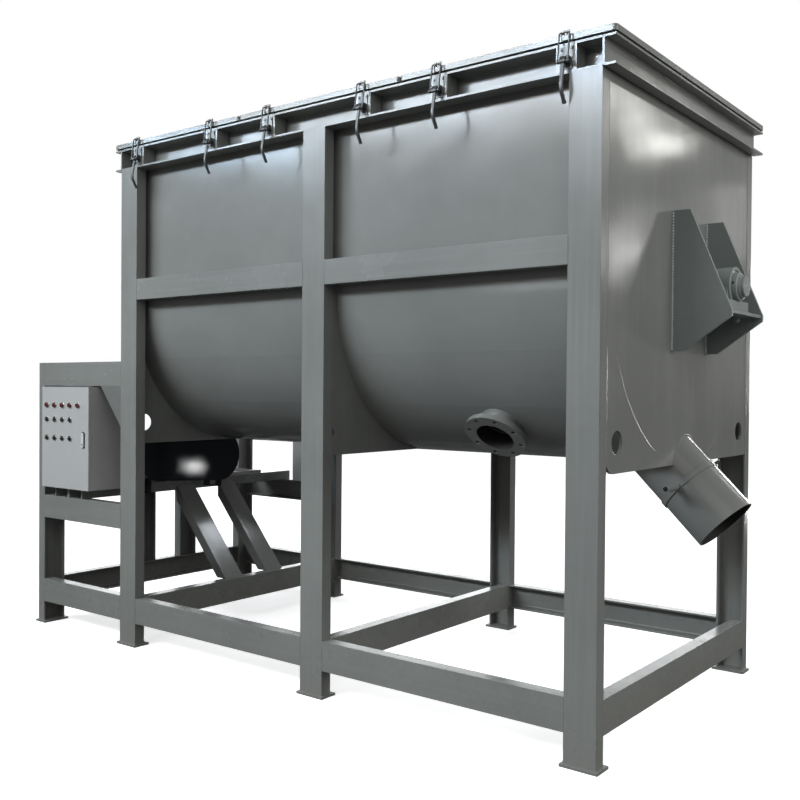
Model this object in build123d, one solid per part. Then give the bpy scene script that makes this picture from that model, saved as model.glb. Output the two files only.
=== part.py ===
from build123d import *
from math import atan2, cos, degrees, pi, radians, sin, sqrt
import os

# Horizontal ribbon blender: a U-shaped mixing trough with a hinged three-panel lid, on a
# frame of rolled steel channel, with its drive and switch cabinet on a platform at one end.
# Millimetres. Lengths are first set out from the frame's right end face and front face and
# are moved to the part's own origin, the bottom centre of its bounding box, on export.

os.makedirs("parts", exist_ok=True)

# Rolled channel sections: height, flange width, web, flange thickness, root radius
heavy = dict(height=120.0, flange=53.0, web=5.5, tip=9.0, root=9.0)
light = dict(height=100.0, flange=48.0, web=5.3, tip=8.5, root=8.5)
toe_radius = 3.5

# Main frame, measured from its right end face (x = 0) and its front face (y = 0)
bay_starts = [0.0, -1210.0, -2425.0]      # right face of each pair of legs
platform_length = 711.0
foot_thickness = 10.0
foot_overhang = 10.0
foot_depth = 84.0
lower_rail_z = 113.0
side_rail_rise = 27.0                     # side rails' underside above the trough's axis
platform_rail_z = [560.0, 1258.0]
centre_post_offset = [-146.0, 157.0]      # front sides of the centre posts from the frame's middle
brace_offset = [-145.0, 155.0]            # front sides of the braces from the frame's middle
brace_overlap = 25.0                      # how far a brace's top end stands against the motor beam
brace_spare = 60.0                        # extra length of a brace before it is cut to fit
gusset_width = 165.0
gusset_height = 200.0
gusset_thickness = 10.0

# Trough
trough_axis_z = 1645.0
trough_radius = 670.0                     # outside of the round bottom
# Weld lines round the bottom, from straight down
sheet_angles = [-90.0, -68.0, -47.0, -31.0, -11.5, 11.5, 31.0, 47.0, 68.0, 90.0]
trough_wall = 8.0
end_plate_thickness = 10.0
end_plate_inset = 2.0                     # behind the faces of the end legs
end_plate_corner = 60.0
vent_hole_radius = 41.0
vent_hole_inset = 138.0
vent_hole_rise = 104.0                    # vent holes' centres above the end plate's bottom
saddle_thickness = 8.0
saddle_notch_radius = 18.0

# Rim, gasket and lid
head_room = 10.0                          # rim's underside above the ribbons' tops
rim_height = 100.0
rim_side_flange = 80.0
rim_end_flange = 48.0
rim_sheet = 8.0
crossbar_width = 80.0
crossbar_height = 60.0
gasket_height = 7.0
gasket_width = 20.0
gasket_inset = 10.0
lid_height = 20.0
lid_sheet = 3.0
lid_return = 34.0
lid_overhang = 3.0
lid_gap = 6.0
lid_corner = 12.0

# Lid hinges
hinge_offset_y = 14.0                     # pin centre behind the frame's back face
hinge_offset_z = 13.0                     # pin centre above the rim
hinge_pin_radius = 4.0
knuckle_radius = 8.0
knuckle_length = 40.0
knuckle_gap = 0.5
leaf_height = 40.0
leaf_thickness = 6.0
leaf_width = 22.0
pin_end = 2.0                             # pin past the outer knuckles
hinge_inset = 180.0                       # hinge and clamp centres from a panel's ends
running_clearance = 0.05

# Toggle clamps
clamp_box_width = 76.0
clamp_box_sheet = 4.0
clamp_base_width = 50.0
clamp_base_height = 76.0
clamp_base_thickness = 3.0
clamp_pivot_y = -14.0
clamp_pivot_rise = 45.0                   # lever's pivot above the rim's underside
clamp_pin_radius = 4.0
clamp_ear_thickness = 4.0
clamp_hub_width = 22.0
clamp_hub_radius = 9.0
clamp_side_gap = 0.5
clamp_bolt_spot = (19.0, 30.0)            # from the middle of the base
clamp_bolt_radius = 4.5
clamp_bolt_head = 3.0
loop_pivot_offset = (-12.0, -12.0)
loop_rod_radius = 3.0
loop_gap = 3.0                            # from the catch to the loop's bar
loop_drop = 10.0                          # loop's bar below the catch's top
loop_corner = 8.0
loop_eye_radius = 7.0
lever_width = 14.0
lever_thickness = 8.0
lever_drop = 147.0                        # lever's tip below its pivot
lever_bow = 16.0                          # how far its knee stands out in front
lever_hook = 12.0                         # and how far its tip bends back
lever_knee = 48.0                         # knee above the tip
lever_bend = 50.0
lever_rounding = 3.5
catch_width = 30.0
catch_slot = 9.0
catch_thickness = 6.0
catch_rise = 14.0                         # catch's top above the lid

# Shaft, ribbons and spokes
shaft_radius = 37.5
shaft_overhang = 225.0
tube_radius = 62.0
tube_end_gap = 80.0
ribbon_end_gap = 55.0
ribbon_clearance = 12.0                   # from the outer ribbons to the trough's inside
outer_ribbon_width = 62.0
inner_ribbon_radius = 350.0
inner_ribbon_width = 50.0
ribbon_thickness = 10.0
ribbon_turns = 2
spoke_radius = 24.0
spokes_per_turn = 4
spoke_end_inset = 14.0                    # end spokes from the ribbons' ends
spoke_bite = 8.0                          # how far a spoke reaches into its ribbons

# Bearing brackets, housings and seals
bracket_front_gap = 3.0                   # from the bearing's base to the side plates
bracket_back_gap = 65.0
bracket_plate = 12.0
bracket_top = 65.0
bracket_reach = 222.0
bracket_rise = 283.0                      # side plates' top above the shaft's axis
bracket_tip_drop = 95.0                   # their outer tip below it
bracket_lip = 22.0
bracket_low_drop = 242.0                  # and their lowest corner
bracket_low_reach = 45.0
shelf_inset = 6.0                         # shelf's edge behind the side plates' tips
bearing_centre = 152.0
bearing_width = 58.0
bearing_radius = 75.0
bearing_base_length = 270.0
bearing_base_width = 84.0
bearing_base_height = 34.0
bearing_bolt_span = 218.0
bearing_bolt_radius = 9.0
bearing_shim = 8.0
bearing_lift = 10.0                       # bearing's ring above its shim
bolt_fit = 0.2
washer_radius = 17.0
washer_thickness = 3.0
nut_radius = 15.0
nut_height = 14.0
bolt_head = 11.0
bolt_end = 6.0                            # shank past the nut
seal_radius = 80.0
seal_length = 34.0
gland_radius = 62.0
gland_length = 12.0
gland_bolt_circle = 70.0
gland_bolts = 4
gland_bolt_radius = 6.0
gland_bolt_length = 16.0

# Chain drive from the reducer to the shaft
chain_guard_gap = 9.5                     # from the left bearing's bracket to the chain guard
chain_pitch = 31.75
main_teeth = 38
drive_teeth = 19
sprocket_thickness = 17.0
chain_plate_gap = 19.5
chain_plate = 4.0
chain_half_depth = 13.0
roller_radius = 9.5
hub_wall = 22.0
hub_length = 26.0
hub_end = 2.0                             # output shaft past its sprocket's hub
chain_guard_depth = 77.0
chain_guard_main_radius = 232.0
chain_guard_drive_radius = 132.0
guard_sheet = 2.0
guard_shaft_gap = 6.0

# Reducer, motor and belts
beam_past_reducer = 15.0                  # right side of the two flat-laid motor beams from the reducer
reducer_gap = 26.5                        # from the chain guard to the reducer
output_rise = 180.0                       # output shaft above the input shaft
reducer_head = 100.0                      # case's top above the output shaft
reducer_length = 260.0
reducer_width = 280.0
reducer_foot = 20.0
reducer_inset = 12.0                      # case's walls inside its foot
reducer_split = 9.0                       # half the split flange's thickness
input_cap_radius = 58.0
output_cap_radius = 78.0
bearing_depth = 60.0                      # shaft bores in the reducer and the motor
filler_radius = 16.0
filler_height = 14.0
output_shaft_radius = 30.0
input_shaft_radius = 20.0
motor_gap = 162.0                         # motor's shaft behind the cabinet
motor_radius = 122.0
motor_face_gap = 40.0                     # from the belt guard to the motor's face
motor_length = 300.0
motor_cowl_length = 120.0
motor_shaft_radius = 19.0
motor_foot_height = 132.0
slide_half = 25.0                         # half the width of a slide bar
slide_thickness = 15.0
slide_front_gap = 12.0                    # front ends behind the cabinet
slide_back_gap = 215.0                    # back ends in front of the frame's back face
motor_foot_width = 216.0
motor_foot_half = 22.0                    # half a foot's length along the shaft
motor_lug = 25.0
motor_lug_height = 16.0
fin_height = 8.0
fin_thickness = 4.0
fins = 28
terminal_box = 112.0
terminal_height = 46.0
terminal_from_face = 130.0
cable_radius = 8.0
cable_bend = 20.0
cable_rise = 24.0                         # upper gland above the motor's body
cable_fall = 58.0                         # lower gland below the upper one
gland_wall = 5.0
cable_gland_length = 12.0
pulley_width = 54.0
motor_pulley_radius = 70.0
reducer_pulley_radius = 105.0
belts = 3
belt_pitch = 16.0
belt_width = 12.4
belt_height = 9.7
groove_width = 13.0
groove_depth = 10.0
guard_gap = 16.5                          # from the chain guard to the belt guard
belt_guard_depth = 90.0
belt_guard_far_radius = 143.0
belt_guard_near_radius = 118.0
guard_arm_width = 40.0
guard_arm_sheet = 6.0
guard_arm_height = 40.0
guard_arm_shift = 70.0                    # how far the far arm stands behind its shaft, between the braces

# Discharge pipe, its butterfly valve and the side outlet
pipe_radius = 122.5
pipe_wall = 8.0
pipe_mouth_x = 158.0                      # centre of its mouth right of the frame
pipe_mouth_drop = 223.0                   # and below the end plate; the pipe falls at 45 degrees
pipe_length = 560.0                       # before it is cut to the trough
pipe_bore_spare = 60.0
valve_from_mouth = 202.0
valve_disc_thickness = 8.0
valve_gap = 1.0
spindle_radius = 11.0
spindle_length = 234.0                    # front end of the spindle tube from the pipe's axis
spindle_wall = 3.0
valve_band = 22.0
valve_band_thickness = 4.0
outlet_x = -575.0
outlet_angle = 39.0
outlet_projection = 70.0                  # flange face from the trough's outside
outlet_neck_radius = 79.5
outlet_bore_radius = 75.0
outlet_flange_radius = 125.0
outlet_flange_thickness = 20.0
outlet_bolt_circle = 105.0
outlet_bolt_hole = 9.0
outlet_bolts = 8
outlet_bolt_phase = 20.0

# Switch cabinet
cabinet_gap = 193.0                       # its right side from the main frame's left legs
cabinet_width = 410.0
cabinet_height = 518.0
cabinet_front_y = -32.0
cabinet_depth = 200.0
cabinet_sheet = 2.0
door_thickness = 18.0
door_gap = 0.5
switch_start_x = 49.0                     # first lamp and button from the cabinet's left side
switch_pitch = 68.5
lamp_drop = 93.0                          # lamps, buttons and lock below the cabinet's top
button_drops = [166.0, 261.0]
lock_drop = 266.0
bezel_radius = 15.0
bezel_height = 4.0
lamp_proud = 12.0
button_radius = 11.0
button_gap = 0.3
lens_gap = 0.05
button_proud = 9.0
button_travel = 4.0
lamp_count = 5
buttons_per_row = 4
lock_from_right = 42.0
back_plate_gap = 12.0
back_plate_inset = 30.0
stud_inset = 45.0
stud_radius = 5.0
door_hinge_inset = 60.0
mains_box = (240.0, 245.0, 55.0)          # width, height and depth of the box on the back rail

# Derived places
frame_depth = 2 * (trough_radius + rim_side_flange)
leg = heavy["height"]
main_left = bay_starts[-1] - leg
platform_left = main_left - platform_length
mid_y = frame_depth / 2
plate_outer = -end_plate_inset
plate_inner = plate_outer - end_plate_thickness
left_plate_outer = main_left + end_plate_inset
left_plate_inner = left_plate_outer + end_plate_thickness
wall_y = mid_y - trough_radius
end_plate_bottom_z = trough_axis_z - trough_radius
vent_hole_z = end_plate_bottom_z + vent_hole_rise
side_rail_z = trough_axis_z + side_rail_rise
outer_ribbon_radius = trough_radius - trough_wall - ribbon_clearance
rim_z = trough_axis_z + outer_ribbon_radius + head_room
rim_top = rim_z + rim_height
lid_bottom = rim_top + gasket_height
lid_top = lid_bottom + lid_height
lid_right = plate_outer + rim_end_flange + end_plate_inset
lid_left = main_left - lid_right
lid_pitch = (lid_right - lid_left) / 3
lid_front = -lid_overhang
lid_back = frame_depth + lid_overhang
hinge_y = frame_depth + hinge_offset_y
hinge_z = rim_top + hinge_offset_z
clamp_x = [lid_right - i * lid_pitch - inset
           for i in range(3) for inset in (hinge_inset, lid_pitch - hinge_inset)]
catch_top_z = lid_top + catch_rise
loop_bar_y = lid_front - catch_thickness - loop_gap - loop_rod_radius
loop_bar_z = catch_top_z - loop_drop
clamp_pivot_z = rim_z + clamp_pivot_rise
lever_tip_z = clamp_pivot_z - lever_drop
shelf_top_z = trough_axis_z - bearing_radius - bearing_lift - bearing_shim
bracket_front_y = mid_y - bearing_base_length / 2 - bracket_front_gap - bracket_plate
bracket_back_y = mid_y + bearing_base_length / 2 + bracket_back_gap + bracket_plate
bracket_top_z = trough_axis_z + bracket_rise
bracket_tip_z = trough_axis_z - bracket_tip_drop
bracket_low_z = trough_axis_z - bracket_low_drop
lower_rail_top = lower_rail_z + leg
deck_z = platform_rail_z[0] + leg
beam_top = deck_z + heavy["flange"]
end_rail_z = beam_top - light["height"]   # underside of the lighter rail that closes the deck's end
cabinet_z = beam_top
cabinet_top = cabinet_z + cabinet_height
cabinet_back = cabinet_front_y + cabinet_depth
cabinet_x = main_left - cabinet_gap - cabinet_width
lamp_z = cabinet_top - lamp_drop
button_rows_z = [cabinet_top - drop for drop in button_drops]
lock_z = cabinet_top - lock_drop
shaft_line_z = beam_top + slide_thickness + motor_foot_height     # motor shaft and reducer input shaft
reducer_output_z = shaft_line_z + output_rise
reducer_top_z = reducer_output_z + reducer_head
chain_x = main_left - bracket_reach - chain_guard_gap - chain_guard_depth / 2
reducer_x = chain_x - chain_guard_depth / 2 - reducer_gap
beam_right = reducer_x + beam_past_reducer
platform_beam_x = [beam_right - leg, beam_right - 2 * leg]        # left side of each motor beam
belt_guard_x = chain_x + chain_guard_depth / 2 + guard_gap
pulley_x = belt_guard_x + belt_guard_depth / 2
motor_face_x = belt_guard_x - motor_face_gap
motor_y = cabinet_back + motor_gap
slide_y = (cabinet_back + slide_front_gap, frame_depth - slide_back_gap)
cable_top_z = shaft_line_z + motor_radius + cable_rise
cable_low_z = cable_top_z - cable_fall
outlet_face = trough_radius + outlet_projection
pitch_radius = {teeth: chain_pitch / (2 * sin(pi / teeth)) for teeth in (main_teeth, drive_teeth)}

# The origin: bottom centre of the bounding box
box_left = platform_left - foot_overhang
box_right = pipe_mouth_x + pipe_radius / sqrt(2)
box_front = cabinet_front_y - door_gap - door_thickness - lamp_proud
box_back = hinge_y + knuckle_radius
datum = Location((-(box_left + box_right) / 2, -(box_front + box_back) / 2, 0))


def box(x, y, z):
    """A block between three pairs of limits."""
    size = [abs(b - a) for a, b in (x, y, z)]
    centre = [(a + b) / 2 for a, b in (x, y, z)]
    return Pos(*centre) * Box(*size)


def rod(radius, start, end):
    """A round bar from one point to another."""
    axis = Vector(*end) - Vector(*start)
    return extrude(Plane(origin=start, z_dir=axis) * Circle(radius), axis.length)


def ring(outer, inner, start, end):
    """A tube from one point to another."""
    axis = Vector(*end) - Vector(*start)
    return extrude(Plane(origin=start, z_dir=axis) * (Circle(outer) - Circle(inner)), axis.length)


def outline(points):
    """A flat face from corner points."""
    return make_face(Polyline(*points, close=True))


def section_face(section):
    """A channel's section: web along x from 0, flanges towards +y."""
    h, b, web, tip = section["height"], section["flange"], section["web"], section["tip"]
    face = outline([(0, 0), (h, 0), (h, b), (h - tip, b), (h - tip, web), (tip, web), (tip, b), (0, b)])
    inner = face.vertices().filter_by(lambda v: tip - 1 < v.X < h - tip + 1)
    roots = inner.filter_by(lambda v: v.Y < b / 2)
    toes = inner.filter_by(lambda v: v.Y > b / 2)
    face = fillet(roots, section["root"])
    toes = face.vertices().filter_by(lambda v: v.Y > b - 1 and tip - 1 < v.X < h - tip + 1)
    return fillet(toes, toe_radius)


def channel(section, corner, along, web_dir, flange_dir, length):
    """A channel bar: corner is the outer corner of its section at its start."""
    plane = Plane(origin=corner, x_dir=web_dir, z_dir=along)
    amount = length
    if plane.y_dir.dot(Vector(*flange_dir)) < 0:
        plane = Plane(origin=corner, x_dir=web_dir, z_dir=-Vector(*along))
        amount = -length
    return extrude(plane * section_face(section), amount)


def mirrored(piece):
    """The same piece at the drive end of the trough."""
    plane = Plane(origin=((bay_starts[0] + main_left) / 2, 0, 0), z_dir=(1, 0, 0))
    return mirror(piece, about=plane)


def save(name, *solids):
    """Write one named sub-part in the part's own frame."""
    shapes = []
    for solid in solids:
        shapes.extend(solid.solids())
    export_step(datum * Compound(children=shapes), f"parts/{name}.step")


# Frame
def main_legs():
    """Six legs: webs face front and back, flanges reach into the frame."""
    height = rim_z - foot_thickness
    bars = []
    for x in bay_starts:
        bars.append(channel(heavy, (x, 0, foot_thickness), (0, 0, 1), (-1, 0, 0), (0, 1, 0), height))
        bars.append(channel(heavy, (x, frame_depth, foot_thickness), (0, 0, 1), (-1, 0, 0), (0, -1, 0),
                            height))
    return bars


def platform_posts():
    """Two tall corner posts and two short centre posts at the drive end, webs outward."""
    top = platform_rail_z[1] + leg
    bars = []
    for y in (0, frame_depth - leg):
        bars.append(channel(heavy, (platform_left, y, foot_thickness), (0, 0, 1), (0, 1, 0), (1, 0, 0),
                            top - foot_thickness))
    for offset in centre_post_offset:
        y = mid_y + offset
        bars.append(channel(heavy, (platform_left, y, lower_rail_top), (0, 0, 1), (0, 1, 0), (1, 0, 0),
                            end_rail_z - lower_rail_top))
    return bars


def foot_plates():
    """A flat plate under each leg and corner post."""
    plates = []
    for x in bay_starts:
        span = (x - leg - foot_overhang, x + foot_overhang)
        plates.append(box(span, (-foot_overhang, foot_depth - foot_overhang), (0, foot_thickness)))
        plates.append(box(span, (frame_depth - foot_depth + foot_overhang, frame_depth + foot_overhang),
                          (0, foot_thickness)))
    span = (platform_left - foot_overhang, platform_left + foot_depth - foot_overhang)
    for y in (0, frame_depth - leg):
        plates.append(box(span, (y - foot_overhang, y + leg + foot_overhang), (0, foot_thickness)))
    return plates


def long_rail(section, z, right, left, side):
    """A rail along x between two legs, flush with the front or back face."""
    y, inward = (0, 1) if side == "front" else (frame_depth, -1)
    return channel(section, (right, y, z), (-1, 0, 0), (0, 0, 1), (0, inward, 0), right - left)


def lower_rails():
    """Long rails in both bays and at the platform, and cross rails at each pair of legs."""
    rails = []
    for side in ("front", "back"):
        for right, left in zip(bay_starts, bay_starts[1:]):
            rails.append(long_rail(heavy, lower_rail_z, right - leg, left, side))
        rails.append(long_rail(heavy, lower_rail_z, main_left, platform_left + heavy["flange"], side))
    depth = heavy["flange"]
    for x in bay_starts:
        rails.append(channel(heavy, (x, depth, lower_rail_z), (0, 1, 0), (0, 0, 1), (-1, 0, 0),
                             frame_depth - 2 * depth))
    rails.append(channel(heavy, (platform_left, leg, lower_rail_z), (0, 1, 0), (0, 0, 1), (1, 0, 0),
                         frame_depth - 2 * leg))
    return rails


def platform_rails():
    """The two upper levels of the platform, and the rail that carries the chain guard."""
    rails = []
    for z in platform_rail_z:
        for side in ("front", "back"):
            rails.append(long_rail(heavy, z, main_left, platform_left + heavy["flange"], side))
    rails.append(channel(light, (platform_left, leg, end_rail_z), (0, 1, 0), (0, 0, 1), (1, 0, 0),
                         frame_depth - 2 * leg))
    rails.append(channel(heavy, (platform_left, leg, platform_rail_z[1]), (0, 1, 0), (0, 0, 1), (1, 0, 0),
                         frame_depth - 2 * leg))
    guard_left = chain_x - chain_guard_depth / 2
    rails.append(channel(heavy, (guard_left, heavy["flange"], platform_rail_z[1]), (0, 1, 0), (0, 0, 1),
                         (-1, 0, 0), frame_depth - 2 * heavy["flange"]))
    return rails


def side_rails():
    """Lighter rails half-way up the trough, front and back."""
    rails = []
    for side in ("front", "back"):
        for right, left in zip(bay_starts, bay_starts[1:]):
            rails.append(long_rail(light, side_rail_z, right - leg, left, side))
    return rails


def motor_beams():
    """Two channels laid flat across the platform."""
    beams = []
    for x in platform_beam_x:
        beams.append(channel(heavy, (x, 0, beam_top), (0, 1, 0), (1, 0, 0), (0, 0, -1), frame_depth))
    return beams


def slide_rails():
    """Two flat bars on the motor beams, which the motor slides along to tension its belts."""
    bars = []
    top = shaft_line_z - motor_foot_height
    for x in platform_beam_x:
        middle = x + leg / 2
        bars.append(box((middle - slide_half, middle + slide_half), slide_y, (beam_top, top)))
    return bars


def platform_braces():
    """Two diagonal channels under the motor beams, and a gusset at each upper rail."""
    right = platform_beam_x[0] + leg
    foot_x = bay_starts[-1] - heavy["flange"]
    run, rise = foot_x - right, deck_z - lower_rail_top
    length = sqrt(run ** 2 + rise ** 2)
    along = Vector(run / length, 0, -rise / length)
    flange_dir = Vector(-rise / length, 0, -run / length)
    braces = []
    for offset in brace_offset:
        y = mid_y + offset
        start = (right - brace_spare, y, deck_z + brace_overlap + brace_spare * rise / run)
        bar = channel(heavy, start, tuple(along), (0, 1, 0), tuple(flange_dir), length + 3 * brace_spare)
        window = box((right, bay_starts[-1]), (y - 1, y + leg + 1), (lower_rail_top, beam_top - heavy["tip"]))
        braces.append(bar & window)
    for y in (0, frame_depth - gusset_thickness):
        corner = [(main_left, y, platform_rail_z[1]), (main_left - gusset_width, y, platform_rail_z[1]),
                  (main_left, y, platform_rail_z[1] - gusset_height)]
        braces.append(extrude(outline(corner), gusset_thickness, dir=(0, 1, 0)))
    return braces


# Trough
def trough_profile(radius, top, x):
    """The U-shaped face at one x: a half circle with straight walls up to the top."""
    y0, y1, z = mid_y - radius, mid_y + radius, trough_axis_z
    edges = [Line((x, y0, top), (x, y0, z)),
             ThreePointArc((x, y0, z), (x, mid_y, z - radius), (x, y1, z)),
             Line((x, y1, z), (x, y1, top)),
             Line((x, y1, top), (x, y0, top))]
    return make_face(edges)


def pipe_point(distance):
    """A point on the discharge pipe's axis, at a distance up from its mouth."""
    step = distance / sqrt(2)
    return (pipe_mouth_x - step, mid_y, end_plate_bottom_z - pipe_mouth_drop + step)


def pipe_bore(extra=0.0):
    """The discharge pipe's bore, run up into the trough."""
    return rod(pipe_radius - pipe_wall, pipe_point(-extra), pipe_point(pipe_length + pipe_bore_spare))


def outlet_point(distance):
    """A point on the side outlet's axis, at a distance from the trough's axis."""
    a = radians(outlet_angle)
    return (outlet_x, mid_y - distance * sin(a), trough_axis_z - distance * cos(a))


def trough_block(radius):
    """The whole inside of a trough of one radius, for cutting."""
    profile = trough_profile(radius, rim_top, left_plate_inner)
    return extrude(profile, plate_inner - left_plate_inner, dir=(1, 0, 0))


def shell_window(first, last):
    """A wedge along the trough between two angles from straight down, to cut one bent sheet out."""
    reach = 1.5 * trough_radius
    points = [(left_plate_inner, mid_y, trough_axis_z)]
    for angle in (first, last):
        a = radians(angle)
        points.append((left_plate_inner, mid_y + reach * sin(a), trough_axis_z - reach * cos(a)))
    return extrude(outline(points), plate_inner - left_plate_inner, dir=(1, 0, 0))


def trough_shell():
    """The shell, open at the top, made of two flat walls and bent sheets, with its two outlets cut."""
    shell = trough_block(trough_radius) - trough_block(trough_radius - trough_wall)
    shell -= pipe_bore()
    shell -= rod(outlet_bore_radius, outlet_point(trough_radius - 60), outlet_point(outlet_face))
    sheets = []
    for y in ((wall_y - 1, mid_y), (mid_y, frame_depth - wall_y + 1)):
        sheets.append(shell & box((left_plate_inner, plate_inner), y, (trough_axis_z, rim_top)))
    for first, last in zip(sheet_angles, sheet_angles[1:]):
        sheets.append(shell & shell_window(first, last))
    return sheets


def end_plate_blank():
    """The right end plate: between the legs, and between the rim's side webs above them."""
    y0, y1 = heavy["flange"], frame_depth - heavy["flange"]
    plate = box((plate_inner, plate_outer), (y0, y1), (end_plate_bottom_z, rim_z))
    front_corner = plate.edges().filter_by(Axis.X).group_by(Axis.Z)[0].sort_by(Axis.Y)[0]
    plate = fillet(front_corner, end_plate_corner)
    plate += box((plate_inner, plate_outer), (wall_y, frame_depth - wall_y), (rim_z, rim_top))
    for y in (vent_hole_inset, frame_depth - vent_hole_inset):
        plate -= rod(vent_hole_radius, (plate_inner - 1, y, vent_hole_z), (plate_outer + 1, y, vent_hole_z))
    return plate - rod(shaft_radius + 4, (plate_inner - 1, mid_y, trough_axis_z),
                       (plate_outer + 1, mid_y, trough_axis_z))


def end_plates():
    """Both end plates; the right one has the discharge pipe's opening."""
    blank = end_plate_blank()
    return [blank - pipe_bore(), mirrored(blank)]


def middle_saddle():
    """The plate under the trough at the middle legs, with a notch beside each leg."""
    x1 = bay_starts[1] - 2.0
    x0 = x1 - saddle_thickness
    y0, y1 = heavy["flange"], frame_depth - heavy["flange"]
    plate = box((x0, x1), (y0, y1), (end_plate_bottom_z + 7, side_rail_z))
    plate -= extrude(trough_profile(trough_radius, rim_top, x0 - 1), saddle_thickness + 2, dir=(1, 0, 0))
    for y in (y0, y1):
        plate -= rod(saddle_notch_radius, (x0 - 1, y, vent_hole_z - 6), (x1 + 1, y, vent_hole_z - 6))
    return list(plate.solids())


def rim_bar(flange, length):
    """A bent channel: web along z from 0, flanges towards +y, length along +x."""
    face = outline([(0, 0), (flange, 0), (flange, rim_sheet), (rim_sheet, rim_sheet),
                    (rim_sheet, rim_height - rim_sheet), (flange, rim_height - rim_sheet),
                    (flange, rim_height), (0, rim_height)])
    roots = face.vertices().filter_by(lambda v: abs(v.X - rim_sheet) < 0.1)
    face = fillet(roots, rim_sheet / 2)
    outer = face.vertices().filter_by(lambda v: abs(v.X) < 0.1)
    face = fillet(outer, rim_sheet)
    return extrude(Plane(origin=(0, 0, 0), x_dir=(0, 1, 0), z_dir=(1, 0, 0)) * face, length)


def rim_channels():
    """The rim: bent channels round the trough with flanges outward, and two crossbars."""
    length = plate_outer - left_plate_outer
    side = rim_bar(rim_side_flange, length)
    front = Pos(plate_outer, wall_y, rim_z) * Rot(0, 0, 180) * side
    back = Pos(left_plate_outer, frame_depth - wall_y, rim_z) * side
    end = rim_bar(rim_end_flange, frame_depth)
    right = Pos(plate_outer, frame_depth, rim_z) * Rot(0, 0, -90) * end
    left = Pos(left_plate_outer, 0, rim_z) * Rot(0, 0, 90) * end
    bars = [front, back, right, left]
    for i in (1, 2):
        x = lid_right - i * lid_pitch
        bars.append(box((x - crossbar_width / 2, x + crossbar_width / 2),
                        (wall_y + trough_wall, frame_depth - wall_y - trough_wall),
                        (rim_top - crossbar_height, rim_top)))
    return bars


def panel_limits(index):
    """Left and right ends of one lid panel."""
    right = lid_right - index * lid_pitch - (lid_gap / 2 if index > 0 else 0)
    left = lid_right - (index + 1) * lid_pitch + (lid_gap / 2 if index < 2 else 0)
    return left, right


def rim_gasket():
    """Rubber strips on the rim under the four edges of each lid panel."""
    strips = []
    z = (rim_top, lid_bottom)
    for i in range(3):
        left, right = panel_limits(i)
        left, right = left + gasket_inset, right - gasket_inset
        front, back = lid_front + gasket_inset, lid_back - gasket_inset
        for x in ((left, left + gasket_width), (right - gasket_width, right)):
            strips.append(box(x, (front, back), z))
        for y in ((front, front + gasket_width), (back - gasket_width, back)):
            strips.append(box((left + gasket_width, right - gasket_width), y, z))
    return strips


# Lid
def catch(x):
    """The forked catch on a lid panel's front edge."""
    half = catch_width / 2
    plate = box((x - half, x + half), (lid_front - catch_thickness, lid_front), (lid_bottom, catch_top_z))
    slot = box((x - catch_slot / 2, x + catch_slot / 2), (lid_front - catch_thickness - 1, lid_front + 1),
               (lid_top - 4, catch_top_z + 1))
    return plate - slot


def lid_knuckle(x):
    """The lid's knuckle of one hinge, with its strap on the lid's back edge."""
    x0, x1 = x - knuckle_length / 2 + knuckle_gap, x + knuckle_length / 2 - knuckle_gap
    barrel = rod(knuckle_radius, (x0, hinge_y, hinge_z), (x1, hinge_y, hinge_z))
    strap = box((x0, x1), (lid_back, hinge_y), (hinge_z, lid_top))
    pin_hole = rod(hinge_pin_radius + running_clearance, (x0 - 1, hinge_y, hinge_z),
                   (x1 + 1, hinge_y, hinge_z))
    return barrel + strap - pin_hole


def lid_panel(index):
    """A sheet pan with turned-in edges, its two catches and its two hinge knuckles."""
    left, right = panel_limits(index)
    x, y, z = (left, right), (lid_front, lid_back), (lid_bottom, lid_top)
    blank = box(x, y, z)
    blank = fillet(blank.edges().filter_by(Axis.Z), lid_corner)
    inner = box((left + lid_sheet, right - lid_sheet), (y[0] + lid_sheet, y[1] - lid_sheet),
                (z[0] + lid_sheet, z[1] - lid_sheet))
    opening = box((left + lid_return, right - lid_return), (y[0] + lid_return, y[1] - lid_return),
                  (z[0] - 1, z[0] + lid_sheet + 1))
    pieces = [blank - inner - opening]
    for x_fit in clamp_x[2 * index:2 * index + 2]:
        pieces.append(catch(x_fit))
        pieces.append(lid_knuckle(x_fit))
    return pieces


def lid_hinges():
    """The rim's knuckles with their leaves, and a pin through each hinge."""
    pieces = []
    leaf_low = rim_top - leaf_height
    for x in clamp_x:
        for side in (-1, 1):
            x0 = x + side * knuckle_length / 2
            x1 = x + side * (knuckle_length / 2 + leaf_width)
            barrel = rod(knuckle_radius, (x0, hinge_y, hinge_z), (x1, hinge_y, hinge_z))
            leaf = box((x0, x1), (frame_depth, frame_depth + leaf_thickness), (leaf_low, rim_top - 1))
            leaf += box((x0, x1), (frame_depth, hinge_y), (leaf_low, leaf_low + leaf_thickness))
            post = (hinge_y - leaf_thickness / 2, hinge_y + leaf_thickness / 2)
            leaf += box((x0, x1), post, (leaf_low, hinge_z))
            hole = rod(hinge_pin_radius, (x0 - side, hinge_y, hinge_z), (x1 + side, hinge_y, hinge_z))
            pieces.append(barrel + leaf - hole)
        reach = knuckle_length / 2 + leaf_width + pin_end
        pieces.append(rod(hinge_pin_radius, (x - reach, hinge_y, hinge_z), (x + reach, hinge_y, hinge_z)))
    return pieces


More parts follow.
